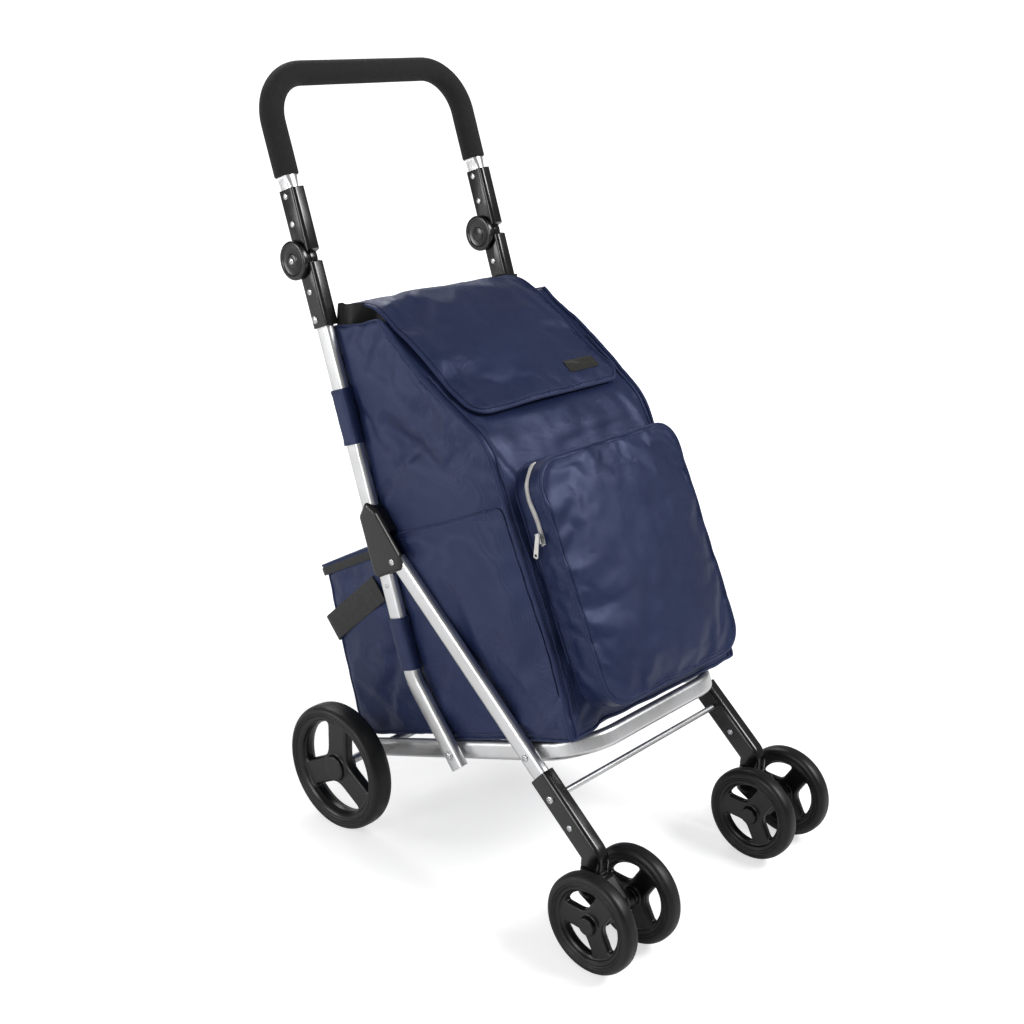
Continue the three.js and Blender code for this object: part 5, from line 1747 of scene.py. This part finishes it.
def make_cooler():
    lines = [resampled([a, b], 8) for a, b in zip(COOLER_SIDE[1:] + COOLER_SIDE[:1], COOLER_SIDE[2:] + COOLER_SIDE[:2])]
    band, loop = joined_lines(*lines[:4]), joined_lines(*lines)
    loop = loop[:-1]
    across = np.linspace(-COOLER_HALF, COOLER_HALF, 37)
    rows = len(band)
    points = np.concatenate([np.stack([np.full(rows, x), band[:, 0], band[:, 1]], 1) for x in across])
    faces = []
    for column in range(len(across) - 1):
        for k in range(rows - 1):
            low = column * rows + k
            faces.append([low, low + 1, low + rows + 1, low + rows])
    solid = (points, faces)
    flat, panel_faces = filled(loop, 8)
    for sign in SIDES.values():
        solid = merged(solid, (np.stack([np.full(len(flat), sign * COOLER_HALF), flat[:, 0], flat[:, 1]], 1), panel_faces))
    points, faces = welded(solid)
    closed_loop = np.concatenate([loop, loop[:1]])
    on_seam = (np.abs(points[:, 0]) > COOLER_HALF - 0.05) & (to_edge(points[:, 1:], closed_loop) < 0.1)
    corner_rows = np.zeros(len(points), bool)
    for corner in COOLER_SIDE:
        corner_rows |= np.linalg.norm(points[:, 1:] - np.array(corner), axis=1) < 0.1
    pinned = on_seam | corner_rows
    points = np.where(pinned[:, None], rumpled(points, 60, 1.4, 8), rumpled(creased(points, COOLER_CREASES), 36, 1.4, 9))
    points, faces = settled((points, faces), np.flatnonzero(pinned), 0.012, 0.8, frames=16, cap=8)
    points[:, 0] = np.clip(points[:, 0], -COOLER_HALF - 4.2, COOLER_HALF + 4.2)
    solid = finer((points, faces))
    tree = surface_of(solid)
    body = piece("cooler_shell", solid, NAVY, "posts", ["cooler_body"], angle=55, closed=False)
    lined(body, 3.2, LINING)
    trims = []
    for sign in SIDES.values():
        seam = np.stack([np.full(rows, sign * COOLER_HALF), band[:, 0], band[:, 1]], 1)
        trims.append(piping(tree, seam, 1.9, 0.5))
    for corner in COOLER_SIDE[2:]:
        trims.append(piping(tree, [[-COOLER_HALF, *corner], [COOLER_HALF, *corner]], 1.5, 0.3))
    crown = [[-COOLER_HALF, *COOLER_SIDE[0]], [-COOLER_HALF, *COOLER_SIDE[1]], [COOLER_HALF, *COOLER_SIDE[1]],
             [COOLER_HALF, *COOLER_SIDE[0]], [-COOLER_HALF, *COOLER_SIDE[0]]]
    trims.append(piping(tree, crown, 1.9, 0.2))
    piece("cooler_piping", merged(*trims), NAVY_TRIM, "posts", angle=60)
    make_cooler_lid()
    make_strap()


def make_cooler_lid():
    """A padded lid with a bound rim and the black zip band under it."""
    front, rear = COOLER_LID_LINE
    back = unit(rear - front)
    up = quarter(back)
    length = float(np.linalg.norm(rear - front))
    half = COOLER_HALF + 2.5
    corners = [[-half, 1], [half, 1], [half, length - 1], [-half, length - 1]]
    outline = rounded_outline(corners, 14, 7)
    outline = resampled(np.concatenate([outline, outline[:1]]), 7)[:-1]
    t = COOLER_LID_THICK

    def placed(u, s, h):
        return np.array([u, *(front + back * s + up * h)])

    rings = [(3, -t + 0.6), (0.6, -t + 0.9), (0, -t + 1.8), (0, -1.6), (0.8, -0.5), (3, 0)]
    flat, faces, heights = terraced(outline, rings, 7)
    size = len(outline)
    crown = 3.6 * (1 - (flat[:, 0] / half) ** 4) * (1 - (2 * flat[:, 1] / length - 1) ** 4)
    top = np.arange(len(flat)) >= size * 5
    ripple = np.array([1.2 * noise.noise(Vector((u * 0.02, s * 0.03, 7.0))) for u, s in flat])
    heights = heights + np.where(top, np.clip(crown, 0, None) + ripple * np.clip(crown, 0, 1), 0)
    solid = welded((np.array([placed(u, s, h) for (u, s), h in zip(flat, heights)]), faces))
    solid = finer(solid)
    tree = surface_of(solid)
    pad = piece("cooler_lid_pad", solid, NAVY, "cooler_lid", ["cooler_lid"], angle=60)

    def ring(inset, height):
        loop = inset_loop(outline, inset)
        return [placed(u, s, height) for u, s in np.concatenate([loop, loop[:1]])]

    rim = merged(piping(tree, ring(0.3, -1), 1.5, 0.2))
    piece("cooler_lid_piping", rim, NAVY_TRIM, "cooler_lid", angle=60)
    path = np.array(ring(0.6, -t - 1))[:-1]
    outwards = np.cross(unit(path[1] - path[0]), at_x(0, up))
    band = sweep(rounded_section(1.6, ZIP_BAND_HALF, 1.0, steps=3), path, outwards, closed=True)
    piece("cooler_zip_band", band, WEBBING, "cooler_lid", angle=40)
    piece("cooler_lid_stitching", stitching(tree, ring(7, 0.5)), THREAD, "cooler_lid", angle=60)


def make_strap():
    """Webbing from post to post round the back of the cooler."""
    high, low = STRAP_LINE
    corners = [at_x(-STRAP_X, high), at_x(-STRAP_X, low), at_x(STRAP_X, low), at_x(STRAP_X, high)]
    path = resampled(filleted(corners, STRAP_CORNER_R, 8), 4)
    down = unit(np.array(low) - high)
    rng_wave = [0.8 * noise.noise(Vector(p) * 0.02) for p in path]
    section = rounded_section(0.95, STRAP_HALF_WIDTH + 0.6, 0.8, steps=3)
    sections = [section + np.array([wave, 0]) for wave in rng_wave]
    across = unit(np.cross(at_x(0, down), at_x(0, quarter(down))))
    strap = sweep(sections, path, across)
    piece("cooler_webbing", strap, WEBBING, "posts", ["cooler_strap"], angle=50)


# ---------------------------------------------------------------- camera, floor and light


def aimed(thing, place, ahead, up):
    """Turns a camera or light to look along a direction, with its top towards up."""
    back = -Vector(ahead).normalized()
    right = Vector(up).cross(back).normalized()
    top = back.cross(right)
    turn = Matrix((right, top, back)).transposed()
    thing.matrix_world = Matrix.Translation(place) @ turn.to_4x4()


def make_camera():
    data = bpy.data.cameras.new("camera")
    data.lens = 51.3
    data.sensor_width = 36
    camera = bpy.data.objects.new("camera", data)
    bpy.context.scene.collection.objects.link(camera)
    aimed(camera, (-1.3743, -1.1543, 1.1456), (0.7012, 0.6111, -0.3672), (0.2362, 0.2867, 0.9284))
    bpy.context.scene.camera = camera


def seen_only(tree, dim, bright):
    """A strength that is bright where the camera looks straight at it and dim as a source of light."""
    path = tree.nodes.new("ShaderNodeLightPath")
    node = tree.nodes.new("ShaderNodeMapRange")
    tree.links.new(path.outputs["Is Camera Ray"], node.inputs["Value"])
    node.inputs["To Min"].default_value = dim
    if isinstance(bright, bpy.types.NodeSocket):
        tree.links.new(bright, node.inputs["To Max"])
    else:
        node.inputs["To Max"].default_value = bright
    return node.outputs["Result"]


FLOOR_HALF = 60
FLOOR_GLOW = 0.6
STUDIO_DIM = 0.22
STUDIO_WHITE = 1.05


def make_floor():
    mesh = bpy.data.meshes.new("floor")
    corners = [(-FLOOR_HALF, -FLOOR_HALF, 0), (FLOOR_HALF, -FLOOR_HALF, 0), (FLOOR_HALF, FLOOR_HALF, 0),
               (-FLOOR_HALF, FLOOR_HALF, 0)]
    mesh.from_pydata(corners, [], [(0, 1, 2, 3)])
    floor = bpy.data.objects.new("floor", mesh)
    bpy.context.scene.collection.objects.link(floor)
    s = Surface("floor", Specular_IOR_Level=0.1)
    s.shader.inputs["Emission Color"].default_value = grey(1)
    away = s.nodes.new("ShaderNodeVectorMath")
    away.operation = "LENGTH"
    s.links.new(s.place, away.inputs[0])
    glow = seen_only(s.material.node_tree, 0.1, s.ramp(away.outputs["Value"], 0.7, 2.0, FLOOR_GLOW, 1.05))
    s.links.new(glow, s.shader.inputs["Emission Strength"])
    colour = s.blend(s.noise(3, 2), grey(0.7), grey(0.74))
    mesh.materials.append(s.done(colour, 0.9))


def soft_light(name, place, aim, size, power):
    data = bpy.data.lights.new(name, "AREA")
    data.shape = "RECTANGLE"
    data.size, data.size_y = size
    data.energy = power
    lamp = bpy.data.objects.new(name, data)
    bpy.context.scene.collection.objects.link(lamp)
    ahead = Vector(aim) - Vector(place)
    aimed(lamp, place, ahead, (0, 0, 1))


def make_light():
    scene = bpy.context.scene
    scene.view_settings.view_transform = "Standard"
    world = bpy.data.worlds.new("studio")
    scene.world = world
    world.use_nodes = True
    background = world.node_tree.nodes["Background"]
    background.inputs["Color"].default_value = grey(1)
    world.node_tree.links.new(seen_only(world.node_tree, STUDIO_DIM, STUDIO_WHITE), background.inputs["Strength"])
    middle = (0, 0, 0.45)
    soft_light("key", (1.2, -2.2, 2.9), middle, (1.3, 1.3), 92)
    soft_light("fill", (-3.0, -0.2, 1.5), middle, (0.9, 2.0), 34)
    soft_light("side", (-2.4, 1.9, 0.9), middle, (0.7, 1.2), 20)
    soft_light("rim", (0.8, 2.6, 2.4), middle, (2.2, 1.2), 40)


# ---------------------------------------------------------------- assembly

make_camera()
make_floor()
make_light()
make_frame_tubes()
make_base_ring()
make_hinge_sleeves()
make_leg_sleeves()
make_handle()
make_knobs()
make_brackets()
make_bolts()
make_rear_wheels()
make_casters()
bag_surface = make_bag()
make_side_pockets(bag_surface)
make_collar()
make_lid()
make_pocket()
make_loops()
make_cooler()
